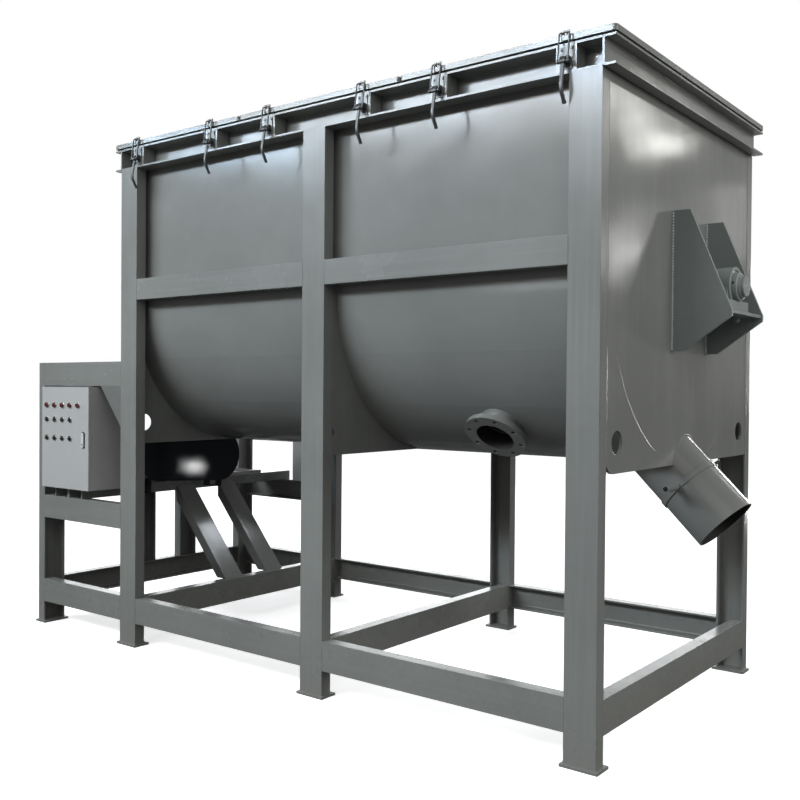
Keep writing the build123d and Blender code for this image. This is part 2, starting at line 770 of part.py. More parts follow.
# Clamps
def clamp_brackets():
    """A box between the rim's flanges for each clamp, and the clamp's base with its ears and pin."""
    pieces = []
    low, high = rim_z + rim_sheet, rim_top - rim_sheet
    for x in clamp_x:
        half = clamp_box_width / 2
        web_face = wall_y - rim_sheet - rim_sheet / 2
        shell = box((x - half, x + half), (0, web_face), (low, high))
        shell -= box((x - half + clamp_box_sheet, x + half - clamp_box_sheet),
                     (clamp_box_sheet, web_face + 1), (low - 1, high + 1))
        middle = (low + high) / 2
        base = box((x - clamp_base_width / 2, x + clamp_base_width / 2), (-clamp_base_thickness, 0),
                   (middle - clamp_base_height / 2, middle + clamp_base_height / 2))
        ear_in = clamp_hub_width / 2 + clamp_side_gap
        for side in (-1, 1):
            x0, x1 = x + side * ear_in, x + side * (ear_in + clamp_ear_thickness)
            base += box((x0, x1), (clamp_pivot_y, 0), (clamp_pivot_z - clamp_hub_radius,
                                                       clamp_pivot_z + clamp_hub_radius))
            base += rod(clamp_hub_radius, (x0, clamp_pivot_y, clamp_pivot_z),
                        (x1, clamp_pivot_y, clamp_pivot_z))
        reach = ear_in + clamp_ear_thickness + 1
        base += rod(clamp_pin_radius, (x - reach, clamp_pivot_y, clamp_pivot_z),
                    (x + reach, clamp_pivot_y, clamp_pivot_z))
        bolt_dx, bolt_dz = clamp_bolt_spot
        for bolt_x in (x - bolt_dx, x + bolt_dx):
            for bolt_z in (middle - bolt_dz, middle + bolt_dz):
                pieces.append(rod(clamp_bolt_radius, (bolt_x, -clamp_base_thickness, bolt_z),
                                  (bolt_x, -clamp_base_thickness - clamp_bolt_head, bolt_z)))
        pieces.extend([shell, base])
    return pieces


def clamp_lever(x):
    """The hand lever: a hub on the fixed pin, a pin for the loop and a bent handle."""
    y, z = clamp_pivot_y, clamp_pivot_z
    half = clamp_hub_width / 2
    py, pz = y + loop_pivot_offset[0], z + loop_pivot_offset[1]
    hub = rod(clamp_hub_radius, (x - half, y, z), (x + half, y, z))
    hub += rod(clamp_hub_radius - 1, (x - half, py, pz), (x + half, py, pz))
    link = outline([(x - half, y - 6, z + 6), (x - half, y + 6, z - 6),
                    (x - half, py + 6, pz - 6), (x - half, py - 6, pz + 6)])
    hub += extrude(link, clamp_hub_width, dir=(1, 0, 0))
    top_y = py + 3
    path = FilletPolyline((x, top_y, pz - 4), (x, top_y - lever_bow, lever_tip_z + lever_knee),
                          (x, top_y + lever_hook, lever_tip_z), radius=lever_bend)
    start = Plane(origin=path @ 0, x_dir=(1, 0, 0), z_dir=path % 0)
    handle = sweep(start * RectangleRounded(lever_width, lever_thickness, lever_rounding), path=path)
    reach = clamp_hub_width / 2 + clamp_ear_thickness + 2 * (clamp_side_gap + loop_rod_radius) + 2
    pin = rod(clamp_pin_radius, (x - reach, py, pz), (x + reach, py, pz))
    bore = rod(clamp_pin_radius + running_clearance, (x - half - 1, y, z), (x + half + 1, y, z))
    return [hub + handle + pin - bore]


def clamp_loop(x):
    """The bent rod that pulls the catch down: two eyes on the lever's pin and a top bar."""
    py, pz = clamp_pivot_y + loop_pivot_offset[0], clamp_pivot_z + loop_pivot_offset[1]
    leg_x = clamp_hub_width / 2 + clamp_side_gap + clamp_ear_thickness + clamp_side_gap + loop_rod_radius
    rise = Vector(0, loop_bar_y - py, loop_bar_z - pz)
    unit = rise.normalized()
    low = [Vector(x + s * leg_x, py, pz) + unit * (loop_eye_radius - 1) for s in (-1, 1)]
    high = [Vector(x + s * leg_x, loop_bar_y, loop_bar_z) for s in (-1, 1)]
    path = FilletPolyline(low[0], high[0], high[1], low[1], radius=loop_corner)
    start = Plane(origin=path @ 0, z_dir=path % 0)
    loop = sweep(start * Circle(loop_rod_radius), path=path)
    for s in (-1, 1):
        x0, x1 = x + s * (leg_x - loop_rod_radius), x + s * (leg_x + loop_rod_radius)
        loop += rod(loop_eye_radius, (x0, py, pz), (x1, py, pz))
        loop -= rod(clamp_pin_radius + running_clearance, (x0 - s, py, pz), (x1 + s, py, pz))
    return [loop]


# Shaft and ribbons
def main_shaft():
    """The through shaft with its thicker tube inside the trough."""
    left = chain_x - chain_guard_depth / 2 - 6
    bar = rod(shaft_radius, (left, mid_y, trough_axis_z), (shaft_overhang, mid_y, trough_axis_z))
    bar = chamfer(bar.edges().filter_by(GeomType.CIRCLE), 3)
    tube = rod(tube_radius, (left_plate_inner + tube_end_gap, mid_y, trough_axis_z),
               (plate_inner - tube_end_gap, mid_y, trough_axis_z))
    return [bar + tube]


ribbon_start = left_plate_inner + ribbon_end_gap
ribbon_length = plate_inner - ribbon_end_gap - ribbon_start
ribbon_pitch = ribbon_length / ribbon_turns


def ribbon(radius, width, hand, phase):
    """One flat bar wound round the shaft's axis, from the drive end to the discharge end."""
    middle = radius - width / 2
    path = Helix(ribbon_pitch, ribbon_length, middle, lefthand=hand < 0)
    start = Plane(origin=path @ 0, x_dir=(1, 0, 0), z_dir=path % 0)
    bar = sweep(start * Rectangle(width, ribbon_thickness), path=path, is_frenet=True)
    return Pos(ribbon_start, mid_y, trough_axis_z) * Rot(0, 90, 0) * Rot(0, 0, phase) * bar


def mixing_ribbons():
    """Two outer ribbons of one hand and two inner ribbons of the other."""
    bars = []
    for phase in (0, 180):
        bars.append(ribbon(outer_ribbon_radius, outer_ribbon_width, 1, phase))
        bars.append(ribbon(inner_ribbon_radius, inner_ribbon_width, -1, phase))
    return bars


def ribbon_spokes():
    """Round spokes through the shaft, one across each pair of outer ribbons."""
    bars = []
    count = ribbon_turns * spokes_per_turn
    reach = outer_ribbon_radius - outer_ribbon_width + spoke_bite
    for k in range(count + 1):
        travel = ribbon_length * k / count
        travel = min(max(travel, spoke_end_inset), ribbon_length - spoke_end_inset)
        angle = 360.0 * travel / ribbon_pitch
        spoke = rod(spoke_radius, (-reach, 0, travel), (reach, 0, travel))
        bars.append(Pos(ribbon_start, mid_y, trough_axis_z) * Rot(0, 90, 0) * Rot(0, 0, angle) * spoke)
    return bars


# Bearings
def bearing_bracket():
    """Two side plates and a shelf on the right end plate."""
    x0 = plate_outer
    side = [(x0, 0, bracket_top_z), (bracket_top, 0, bracket_top_z), (bracket_reach, 0, bracket_tip_z),
            (bracket_reach, 0, bracket_tip_z - bracket_lip), (bracket_low_reach, 0, bracket_low_z),
            (x0, 0, bracket_low_z)]
    plates = []
    for y in (bracket_front_y, bracket_back_y - bracket_plate):
        plates.append(Pos(0, y, 0) * extrude(outline(side), bracket_plate, dir=(0, 1, 0)))
    shelf = box((x0, bracket_reach - shelf_inset),
                (bracket_front_y + bracket_plate, bracket_back_y - bracket_plate),
                (shelf_top_z - bracket_plate, shelf_top_z))
    for side_y in (-1, 1):
        y = mid_y + side_y * bearing_bolt_span / 2
        shelf -= rod(bearing_bolt_radius + 1, (bearing_centre, y, shelf_top_z - bracket_plate - 1),
                     (bearing_centre, y, shelf_top_z + 1))
    return plates + [shelf]


def bearing_housing():
    """A pillow block on its shim, with the bearing's inner sleeve left as running clearance."""
    x0, x1 = bearing_centre - bearing_width / 2, bearing_centre + bearing_width / 2
    base_z = shelf_top_z + bearing_shim
    half = bearing_base_length / 2
    body = rod(bearing_radius, (x0, mid_y, trough_axis_z), (x1, mid_y, trough_axis_z))
    flare = outline([(x0, mid_y - half * 0.62, base_z + bearing_base_height),
                     (x0, mid_y + half * 0.62, base_z + bearing_base_height),
                     (x0, mid_y + bearing_radius * 0.97, trough_axis_z + 8),
                     (x0, mid_y - bearing_radius * 0.97, trough_axis_z + 8)])
    body += extrude(flare, bearing_width, dir=(1, 0, 0))
    base = box((bearing_centre - bearing_base_width / 2, bearing_centre + bearing_base_width / 2),
               (mid_y - half, mid_y + half), (base_z, base_z + bearing_base_height))
    base = fillet(base.edges().filter_by(Axis.Z), 20)
    body += base
    body -= rod(shaft_radius + running_clearance, (x0 - 20, mid_y, trough_axis_z),
                (x1 + 20, mid_y, trough_axis_z))
    shim = box((bearing_centre - bearing_base_width / 2, bearing_centre + bearing_base_width / 2),
               (mid_y - half, mid_y + half), (shelf_top_z, base_z))
    for side in (-1, 1):
        y = mid_y + side * bearing_bolt_span / 2
        hole = rod(bearing_bolt_radius, (bearing_centre, y, shelf_top_z - 1),
                   (bearing_centre, y, base_z + bearing_base_height + 1))
        body -= hole
        shim -= hole
    return [body, shim]


def bearing_bolts():
    """A bolt, washer and nut at each end of a housing's foot."""
    pieces = []
    top = shelf_top_z + bearing_shim + bearing_base_height
    low = shelf_top_z - bracket_plate
    for side in (-1, 1):
        y = mid_y + side * bearing_bolt_span / 2
        washer = extrude(Plane(origin=(bearing_centre, y, top)) * Circle(washer_radius), washer_thickness)
        seat = top + washer_thickness
        head = extrude(Plane(origin=(bearing_centre, y, seat)) * RegularPolygon(nut_radius, 6), bolt_head)
        shank = rod(bearing_bolt_radius - bolt_fit, (bearing_centre, y, low - nut_height - bolt_end),
                    (bearing_centre, y, seat))
        nut = extrude(Plane(origin=(bearing_centre, y, low - nut_height)) * RegularPolygon(nut_radius, 6),
                      nut_height)
        pieces.append(washer + head + shank + nut)
    return pieces


def shaft_seal():
    """The stuffing box round the shaft on the right end plate, with its gland bolts."""
    x0, x1 = plate_outer, plate_outer + seal_length
    bore = shaft_radius + running_clearance
    body = ring(seal_radius, bore, (x0, mid_y, trough_axis_z), (x1, mid_y, trough_axis_z))
    body += ring(gland_radius, bore, (x1, mid_y, trough_axis_z),
                 (x1 + gland_length, mid_y, trough_axis_z))
    for k in range(gland_bolts):
        a = 2 * pi * (k + 0.5) / gland_bolts
        y, z = mid_y + gland_bolt_circle * cos(a), trough_axis_z + gland_bolt_circle * sin(a)
        body += rod(gland_bolt_radius, (x1, y, z), (x1 + gland_bolt_length, y, z))
    return body


# Chain drive
def sprocket(teeth, z, bore):
    """A toothed wheel on the chain's plane."""
    radius = pitch_radius[teeth]
    root, tip = radius - roller_radius, radius + 5
    points = []
    for k in range(teeth):
        for offset, r in ((-0.24, root), (-0.12, tip), (0.12, tip), (0.24, root)):
            a = 2 * pi * (k + 0.5 + offset) / teeth
            points.append((r * cos(a), r * sin(a)))
    face = outline(points) - Circle(bore)
    plane = Plane(origin=(chain_x - sprocket_thickness / 2, mid_y, z), x_dir=(0, 1, 0), z_dir=(1, 0, 0))
    wheel = extrude(plane * face, sprocket_thickness)
    hub = extrude(Plane(origin=(chain_x, mid_y, z), x_dir=(0, 1, 0), z_dir=(1, 0, 0))
                  * (Circle(bore + hub_wall) - Circle(bore)), hub_length)
    return wheel + hub


def wrap(x, near, far):
    """The face inside a band round two circles, each given as y, z and radius."""
    (y1, z1, r1), (y2, z2, r2) = near, far
    gap = sqrt((y2 - y1) ** 2 + (z2 - z1) ** 2)
    tilt = atan2(z2 - z1, y2 - y1)
    lean = pi / 2 + (atan2(r1 - r2, sqrt(gap ** 2 - (r1 - r2) ** 2)) * -1)
    corners = []
    for (y, z, r), turn in ((near, lean), (far, lean), (far, -lean), (near, -lean)):
        corners.append((x, y + r * cos(tilt + turn), z + r * sin(tilt + turn)))
    far_tip = (x, y2 + r2 * cos(tilt), z2 + r2 * sin(tilt))
    near_tip = (x, y1 - r1 * cos(tilt), z1 - r1 * sin(tilt))
    edges = [Line(corners[0], corners[1]), ThreePointArc(corners[1], far_tip, corners[2]),
             Line(corners[2], corners[3]), ThreePointArc(corners[3], near_tip, corners[0])]
    return make_face(edges)


def band(x, depth, near, far, thickness):
    """A closed loop of constant thickness outside the two circles."""
    grown = [(y, z, r + thickness) for y, z, r in (near, far)]
    outer = extrude(wrap(x, *grown), depth, dir=(1, 0, 0))
    return outer - extrude(wrap(x - 1, near, far), depth + 2, dir=(1, 0, 0))


def drive_chain():
    """Side plates on both sides of the teeth, and the rollers of the two straight runs."""
    low = (mid_y, reducer_output_z, pitch_radius[drive_teeth] - chain_half_depth)
    high = (mid_y, trough_axis_z, pitch_radius[main_teeth] - chain_half_depth)
    pieces = []
    for x in (chain_x - chain_plate_gap / 2 - chain_plate, chain_x + chain_plate_gap / 2):
        pieces.append(band(x, chain_plate, low, high, 2 * chain_half_depth))
    rise = trough_axis_z - reducer_output_z
    lean = atan2(pitch_radius[main_teeth] - pitch_radius[drive_teeth], rise)
    count = int(rise * cos(lean) / chain_pitch) - 6
    for side in (-1, 1):
        for k in range(count):
            run = (k + 3.5) * chain_pitch
            y = mid_y + side * (pitch_radius[drive_teeth] * cos(lean) + run * sin(lean))
            z = reducer_output_z - pitch_radius[drive_teeth] * sin(lean) + run * cos(lean)
            pieces.append(rod(roller_radius, (chain_x - chain_plate_gap / 2, y, z),
                              (chain_x + chain_plate_gap / 2, y, z)))
    return pieces


def guard_shell(x, depth, near, far):
    """A closed sheet cover round two circles."""
    outer = extrude(wrap(x, near, far), depth, dir=(1, 0, 0))
    inset = [(y, z, r - guard_sheet) for y, z, r in (near, far)]
    return outer - extrude(wrap(x + guard_sheet, *inset), depth - 2 * guard_sheet, dir=(1, 0, 0))


def chain_guard():
    """The cover of the chain drive, with holes for its shafts."""
    left = chain_x - chain_guard_depth / 2
    shell = guard_shell(left, chain_guard_depth, (mid_y, reducer_output_z, chain_guard_drive_radius),
                        (mid_y, trough_axis_z, chain_guard_main_radius))
    shell -= rod(shaft_radius + guard_shaft_gap, (left - 1, mid_y, trough_axis_z),
                 (left + chain_guard_depth + 1, mid_y, trough_axis_z))
    shell -= rod(output_shaft_radius + guard_shaft_gap, (left - 1, mid_y, reducer_output_z),
                 (left + guard_sheet + 1, mid_y, reducer_output_z))
    return [shell]


# Reducer, motor and belts
def reducer_housing():
    """A cast gear case on the slide bars, with a split flange, bearing caps and a filler plug."""
    x0, x1 = reducer_x - reducer_length, reducer_x
    y0, y1 = mid_y - reducer_width / 2, mid_y + reducer_width / 2
    base = shaft_line_z - motor_foot_height
    inset = reducer_inset
    case = box((x0 + inset, x1 - inset), (y0 + inset, y1 - inset), (base + reducer_foot - 2, reducer_top_z))
    case = fillet(case.edges().filter_by(Axis.Z), 24)
    case = fillet(case.edges().group_by(Axis.Z)[-1], 16)
    case += box((x0, x1), (y0, y1), (base, base + reducer_foot))
    split = (shaft_line_z + reducer_output_z) / 2
    case += box((x0 + 2, x1 - 2), (y0 + 2, y1 - 2), (split - reducer_split, split + reducer_split))
    for z, radius in ((shaft_line_z, input_cap_radius), (reducer_output_z, output_cap_radius)):
        case += rod(radius, (x0 + 2, mid_y, z), (x1, mid_y, z))
    for z, radius in ((shaft_line_z, input_shaft_radius), (reducer_output_z, output_shaft_radius)):
        case -= rod(radius + running_clearance, (x1 - bearing_depth, mid_y, z), (x1 + 1, mid_y, z))
    middle = (x0 + x1) / 2
    case += rod(filler_radius, (middle, mid_y, reducer_top_z - 2),
                (middle, mid_y, reducer_top_z + filler_height))
    return [case]


def pulley(y, radius, bore):
    """A grooved wheel on the belts' plane."""
    x0 = pulley_x - pulley_width / 2
    wheel = ring(radius, bore, (x0, y, shaft_line_z), (x0 + pulley_width, y, shaft_line_z))
    for k in range(belts):
        x = pulley_x + (k - (belts - 1) / 2) * belt_pitch
        wheel -= ring(radius + 1, radius - groove_depth, (x - groove_width / 2, y, shaft_line_z),
                      (x + groove_width / 2, y, shaft_line_z))
    return wheel


def reducer_input():
    """The reducer's input shaft with its pulley."""
    x1 = pulley_x + pulley_width / 2
    shaft = rod(input_shaft_radius, (reducer_x - bearing_depth + 2, mid_y, shaft_line_z),
                (x1 + 4, mid_y, shaft_line_z))
    return [shaft + pulley(mid_y, reducer_pulley_radius, input_shaft_radius - 1)]


def reducer_output():
    """The reducer's output shaft with the small sprocket."""
    shaft = rod(output_shaft_radius, (reducer_x - bearing_depth + 2, mid_y, reducer_output_z),
                (chain_x + hub_length + hub_end, mid_y, reducer_output_z))
    return [shaft + sprocket(drive_teeth, reducer_output_z, output_shaft_radius - 1)]


def drive_motor():
    """A foot-mounted finned motor with its fan cowl and terminal box."""
    x1 = motor_face_x
    x0 = x1 - motor_length
    y, z = motor_y, shaft_line_z
    body = rod(motor_radius - fin_height, (x0, y, z), (x1 - 8, y, z))
    body += rod(motor_radius, (x1 - 26, y, z), (x1 - 6, y, z))
    body += rod(motor_radius - 30, (x1 - 8, y, z), (x1, y, z))
    for k in range(fins):
        a = 2 * pi * k / fins
        fin = box((x0, x1 - 24), (-fin_thickness / 2, fin_thickness / 2),
                  (motor_radius - fin_height - 3, motor_radius))
        body += Pos(0, y, z) * Rot(degrees(a), 0, 0) * fin
    body += rod(motor_radius + 2, (x0 - motor_cowl_length, y, z), (x0 + 4, y, z))
    base = z - motor_foot_height
    half = motor_foot_width / 2
    for x in platform_beam_x:
        middle = x + leg / 2
        foot_x = (middle - motor_foot_half, middle + motor_foot_half)
        foot = box(foot_x, (y - half - motor_lug, y + half + motor_lug), (base, base + motor_lug_height))
        foot += box(foot_x, (y - half + 12, y + half - 12), (base, z - motor_radius / 2))
        body += foot
    top = z + motor_radius
    middle = x1 - terminal_from_face
    half = terminal_box / 2
    body += box((middle - half, middle + half), (y - half, y + half), (top - 30, top + terminal_height))
    body -= rod(motor_shaft_radius + running_clearance, (x1 - bearing_depth, y, z), (x1 + 1, y, z))
    return [body]


def motor_shaft():
    """The motor's shaft with its pulley."""
    x1 = pulley_x + pulley_width / 2
    shaft = rod(motor_shaft_radius, (motor_face_x - bearing_depth + 2, motor_y, shaft_line_z),
                (x1 + 4, motor_y, shaft_line_z))
    return [shaft + pulley(motor_y, motor_pulley_radius, motor_shaft_radius - 1)]


def motor_cable():
    """The cable from the motor's terminal box down to the gland in the cabinet's back."""
    box_side = motor_y - terminal_box / 2
    x = motor_face_x - terminal_from_face
    turn_y = (box_side + cabinet_back) / 2
    path = FilletPolyline((x, box_side, cable_top_z), (x, turn_y, cable_top_z), (x, turn_y, cable_low_z),
                          (x, cabinet_back, cable_low_z), radius=cable_bend)
    start = Plane(origin=path @ 0, z_dir=path % 0)
    cable = sweep(start * Circle(cable_radius), path=path)
    outer = cable_radius + gland_wall
    glands = [ring(outer, cable_radius, (x, box_side, cable_top_z),
                   (x, box_side - cable_gland_length, cable_top_z)),
              ring(outer, cable_radius, (x, cabinet_back, cable_low_z),
                   (x, cabinet_back + cable_gland_length, cable_low_z))]
    return [cable] + glands


def drive_belts():
    """Side-by-side belts that run in both pulleys' grooves."""
    loops = []
    slack = groove_depth - belt_height
    near = (motor_y, shaft_line_z, motor_pulley_radius - belt_height)
    far = (mid_y, shaft_line_z, reducer_pulley_radius - belt_height)
    for k in range(belts):
        x = pulley_x + (k - (belts - 1) / 2) * belt_pitch - belt_width / 2
        loops.append(band(x, belt_width, near, far, belt_height + slack))
    return loops


def belt_guard():
    """The cover of the belts, with its shaft holes and the two brackets that hold it."""
    shell = guard_shell(belt_guard_x, belt_guard_depth, (motor_y, shaft_line_z, belt_guard_near_radius),
                        (mid_y, shaft_line_z, belt_guard_far_radius))
    for y, radius in ((motor_y, motor_shaft_radius), (mid_y, input_shaft_radius)):
        shell -= rod(radius + guard_shaft_gap, (belt_guard_x - 1, y, shaft_line_z),
                     (belt_guard_x + guard_sheet + 1, y, shaft_line_z))
    beam_side = platform_beam_x[0] + leg
    pieces = [shell]
    for y, low in ((motor_y, belt_guard_near_radius), (mid_y + guard_arm_shift, belt_guard_far_radius)):
        across = (y - guard_arm_width / 2, y + guard_arm_width / 2)
        floor = beam_top - guard_arm_height
        arm = box((beam_side, belt_guard_x), across, (floor, floor + guard_arm_sheet))
        arm += box((beam_side, beam_side + guard_arm_sheet), across, (floor, beam_top))
        arm += box((belt_guard_x - guard_arm_sheet, belt_guard_x), across,
                   (floor, shaft_line_z - low + guard_arm_height))
        pieces.append(arm)
    return pieces


# Discharge
def discharge_pipe():
    """The slanting pipe under the right end plate, cut to the trough, with the valve's band."""
    tube = rod(pipe_radius, pipe_point(0), pipe_point(pipe_length))
    cutter = extrude(trough_profile(trough_radius, rim_top, left_plate_inner), plate_outer - left_plate_inner,
                     dir=(1, 0, 0))
    plate_block = box((plate_inner, plate_outer), (0, frame_depth), (end_plate_bottom_z, rim_top))
    tube = tube - cutter - plate_block
    tube = tube.solids().sort_by(Axis.Z)[0]
    band_ring = ring(pipe_radius + valve_band_thickness, pipe_radius - 1,
                     pipe_point(valve_from_mouth - valve_band / 2),
                     pipe_point(valve_from_mouth + valve_band / 2))
    tube = tube + (band_ring - plate_block)
    tube -= pipe_bore(extra=5.0)
    centre = pipe_point(valve_from_mouth)
    tube -= rod(spindle_radius + running_clearance, (centre[0], mid_y - pipe_radius - 20, centre[2]),
                (centre[0], mid_y + pipe_radius - 2, centre[2]))
    return [tube.solids().sort_by(SortBy.VOLUME)[-1]]


def valve_disc():
    """The butterfly disc across the pipe, on the tube that its lever is put in."""
    centre = pipe_point(valve_from_mouth)
    axis = Vector(1, 0, -1).normalized()
    disc_radius = pipe_radius - pipe_wall - valve_gap
    half = valve_disc_thickness / 2
    start = Vector(*centre) - axis * half
    disc = extrude(Plane(origin=start, z_dir=axis) * Circle(disc_radius), valve_disc_thickness)
    spindle = rod(spindle_radius, (centre[0], mid_y - spindle_length, centre[2]),
                  (centre[0], mid_y + pipe_radius - 3, centre[2]))
    bore = rod(spindle_radius - spindle_wall, (centre[0], mid_y - spindle_length - 1, centre[2]),
               (centre[0], mid_y - pipe_radius - 10, centre[2]))
    return [disc + spindle - bore]


def side_outlet():
    """The short neck and drilled flange on the round bottom."""
    neck = rod(outlet_neck_radius, outlet_point(trough_radius - 40), outlet_point(outlet_face))
    neck -= trough_block(trough_radius)
    flange = rod(outlet_flange_radius, outlet_point(outlet_face - outlet_flange_thickness),
                 outlet_point(outlet_face))
    neck = neck.solids().sort_by(Axis.Z)[0] + flange
    neck -= rod(outlet_bore_radius, outlet_point(trough_radius - 60), outlet_point(outlet_face + 1))
    axis = Vector(*outlet_point(1.0)) - Vector(*outlet_point(0.0))
    plane = Plane(origin=outlet_point(outlet_face + 1), x_dir=(1, 0, 0), z_dir=axis)
    for k in range(outlet_bolts):
        a = outlet_bolt_phase + 360.0 * k / outlet_bolts
        spot = plane * Pos(outlet_bolt_circle * cos(radians(a)), outlet_bolt_circle * sin(radians(a)))
        neck -= extrude(spot * Circle(outlet_bolt_hole), -outlet_flange_thickness - 2)
    return [neck]


# Switch cabinet
def switch_spots(rows, count):
    """Centres on the door for a number of devices in each row."""
    return [(cabinet_x + switch_start_x + k * switch_pitch, z) for z in rows for k in range(count)]


cabinet_limits = (cabinet_x, cabinet_x + cabinet_width)
door_back = cabinet_front_y - door_gap
door_front = door_back - door_thickness
button_spots = switch_spots(button_rows_z, buttons_per_row)
lamp_spots = switch_spots([lamp_z], lamp_count)


def cabinet_body():
    """The open-fronted sheet case with its wiring plate and hinge pins."""
    x, y = cabinet_limits, (cabinet_front_y, cabinet_back)
    z = (cabinet_z, cabinet_top)
    t = cabinet_sheet
    back = y[1] - t
    case = [box((x[0], x[0] + t), (y[0], back), z), box((x[1] - t, x[1]), (y[0], back), z)]
    for level in (z[0], z[1] - t):
        case.append(box((x[0] + t, x[1] - t), (y[0], back), (level, level + t)))
    case.append(box(x, (back, y[1]), z))
    inset = back_plate_inset
    plate = box((x[0] + inset, x[1] - inset), (back - back_plate_gap - t, back - back_plate_gap),
                (z[0] + inset, z[1] - inset))
    pieces = case + [plate]
    for px in (x[0] + stud_inset, x[1] - stud_inset):
        for pz in (z[0] + stud_inset, z[1] - stud_inset):
            pieces.append(rod(stud_radius, (px, back, pz), (px, back - back_plate_gap, pz)))
    for hz in (z[0] + door_hinge_inset, z[1] - door_hinge_inset):
        pieces.append(rod(3, (x[0] - 5, door_back - 4, hz - 24), (x[0] - 5, door_back - 4, hz + 24)))
        pieces.append(box((x[0] - 8, x[0]), (door_back + 3.5, door_back + 20), (hz - 22, hz - 8))
                      + box((x[0] - 8, x[0] - 2), (door_back - 7, door_back + 20), (hz - 22, hz - 8))
                      - rod(3, (x[0] - 5, door_back - 4, hz - 24), (x[0] - 5, door_back - 4, hz + 24)))
    return pieces


def cabinet_door():
    """The door: a folded pan with holes for its switches, a ring round each and its knuckles."""
    x, y = cabinet_limits, (door_front, door_back)
    z = (cabinet_z, cabinet_top)
    t = cabinet_sheet
    pan = box(x, y, z)
    pan = fillet(pan.edges().filter_by(Axis.Z).group_by(Axis.Y)[0], 3)
    pan -= box((x[0] + t, x[1] - t), (y[0] + t, y[1] + 1), (z[0] + t, z[1] - t))
    pieces = []
    for px, pz in button_spots + lamp_spots:
        hole = rod(button_radius + button_gap, (px, y[0] - bezel_height - 1, pz), (px, y[0] + t + 1, pz))
        pan -= hole
        pieces.append(rod(bezel_radius, (px, y[0] - bezel_height, pz), (px, y[0], pz)) - hole)
    lock_x = x[1] - lock_from_right
    pan -= rod(9.05, (lock_x, y[0] - 1, lock_z), (lock_x, y[0] + t + 1, lock_z))
    for hz in (z[0] + door_hinge_inset, z[1] - door_hinge_inset):
        knuckle = rod(5.5, (x[0] - 5, door_back - 4, hz - 7.5), (x[0] - 5, door_back - 4, hz + 7.5))
        knuckle += box((x[0] - 5, x[0]), (door_back - 9, door_back - 4), (hz - 7.5, hz + 7.5))
        pin_hole = rod(3.05, (x[0] - 5, door_back - 4, hz - 9), (x[0] - 5, door_back - 4, hz + 9))
        pieces.append(knuckle - pin_hole)
    return [pan] + pieces


def door_lock():
    """The quarter-turn handle with its spindle and inside tongue."""
    lock_x = cabinet_limits[1] - lock_from_right
    y0 = door_front
    grip = box((lock_x - 9, lock_x + 9), (y0 - 8, y0 - 0.3), (lock_z - 37, lock_z + 37))
    grip = fillet(grip.edges().filter_by(Axis.Y), 8)
    spindle = rod(9, (lock_x, y0 - 1, lock_z), (lock_x, y0 + 14, lock_z))
    tongue = box((lock_x - 6, lock_x + 6), (y0 + 10, y0 + 14), (lock_z - 6, lock_z + 30))
    return [grip + spindle + tongue]


def indicator_lamps():
    """Domed lenses in the door's top row."""
    lenses = []
    front = door_front - bezel_height - 3
    radius = button_radius + button_gap - lens_gap
    for x, z in lamp_spots:
        lens = rod(radius, (x, front, z), (x, door_front + 3, z))
        dome = Pos(x, front, z) * Sphere(radius)
        cap = box((x - 20, x + 20), (door_front - lamp_proud, front), (z - 20, z + 20))
        lenses.append(lens + (dome & cap))
    return lenses


def push_button(spot):
    """One button: a cap with its stem through the door."""
    x, z = spot
    cap = rod(button_radius, (x, door_front - button_proud, z), (x, door_front + 6, z))
    cap = fillet(cap.edges().group_by(Axis.Y)[0], 1.5)
    return [cap]


def mains_enclosure():
    """The grey box on the back rail beside the left leg."""
    width, height, depth = mains_box
    return [box((main_left - width, main_left), (frame_depth - depth, frame_depth),
                (deck_z, deck_z + height))]


save("frame_legs", *main_legs(), *platform_posts(), *foot_plates())
save("frame_rails", *lower_rails(), *side_rails())
save("platform_rails", *platform_rails(), *motor_beams())
save("motor_slides", *slide_rails())
save("platform_braces", *platform_braces())
save("trough_shell", *trough_shell())
save("trough_plates", *end_plates(), *middle_saddle())
save("rim_channels", *rim_channels())
save("rim_gasket", *rim_gasket())
save("clamp_brackets", *clamp_brackets())
for number, clamp in enumerate(clamp_x, 1):
    save(f"clamp_lever_{number}", *clamp_lever(clamp))
    save(f"clamp_loop_{number}", *clamp_loop(clamp))
for number in range(3):
    save(f"lid_panel_{number + 1}", *lid_panel(number))
save("lid_hinges", *lid_hinges())
brackets = bearing_bracket()
housing = bearing_housing()
bolts = bearing_bolts()
seal = shaft_seal()
save("bearing_brackets", *brackets, *[mirrored(piece) for piece in brackets])
save("bearing_housings", *housing, *[mirrored(piece) for piece in housing])
save("bearing_bolts", *bolts, *[mirrored(piece) for piece in bolts])
save("shaft_seals", seal, mirrored(seal))
save("main_shaft", *main_shaft())
save("mixing_ribbons", *mixing_ribbons())
save("ribbon_spokes", *ribbon_spokes())
save("main_sprocket", sprocket(main_teeth, trough_axis_z, shaft_radius))
save("drive_chain", *drive_chain())
save("chain_guard", *chain_guard())
save("reducer_housing", *reducer_housing())
save("reducer_input", *reducer_input())
save("reducer_output", *reducer_output())
save("drive_motor", *drive_motor())
save("motor_shaft", *motor_shaft())
save("motor_cable", *motor_cable())
save("drive_belts", *drive_belts())
save("belt_guard", *belt_guard())
save("discharge_pipe", *discharge_pipe())
save("valve_disc", *valve_disc())
save("side_outlet", *side_outlet())
save("cabinet_body", *cabinet_body())
save("cabinet_door", *cabinet_door())
save("door_lock", *door_lock())
save("indicator_lamps", *indicator_lamps())
for number, spot in enumerate(button_spots, 1):
    save(f"push_button_{number}", *push_button(spot))
save("mains_enclosure", *mains_enclosure())
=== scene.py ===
# The looks of the ribbon blender: camera, light, materials and the detail pieces on the CAD frame.
import math

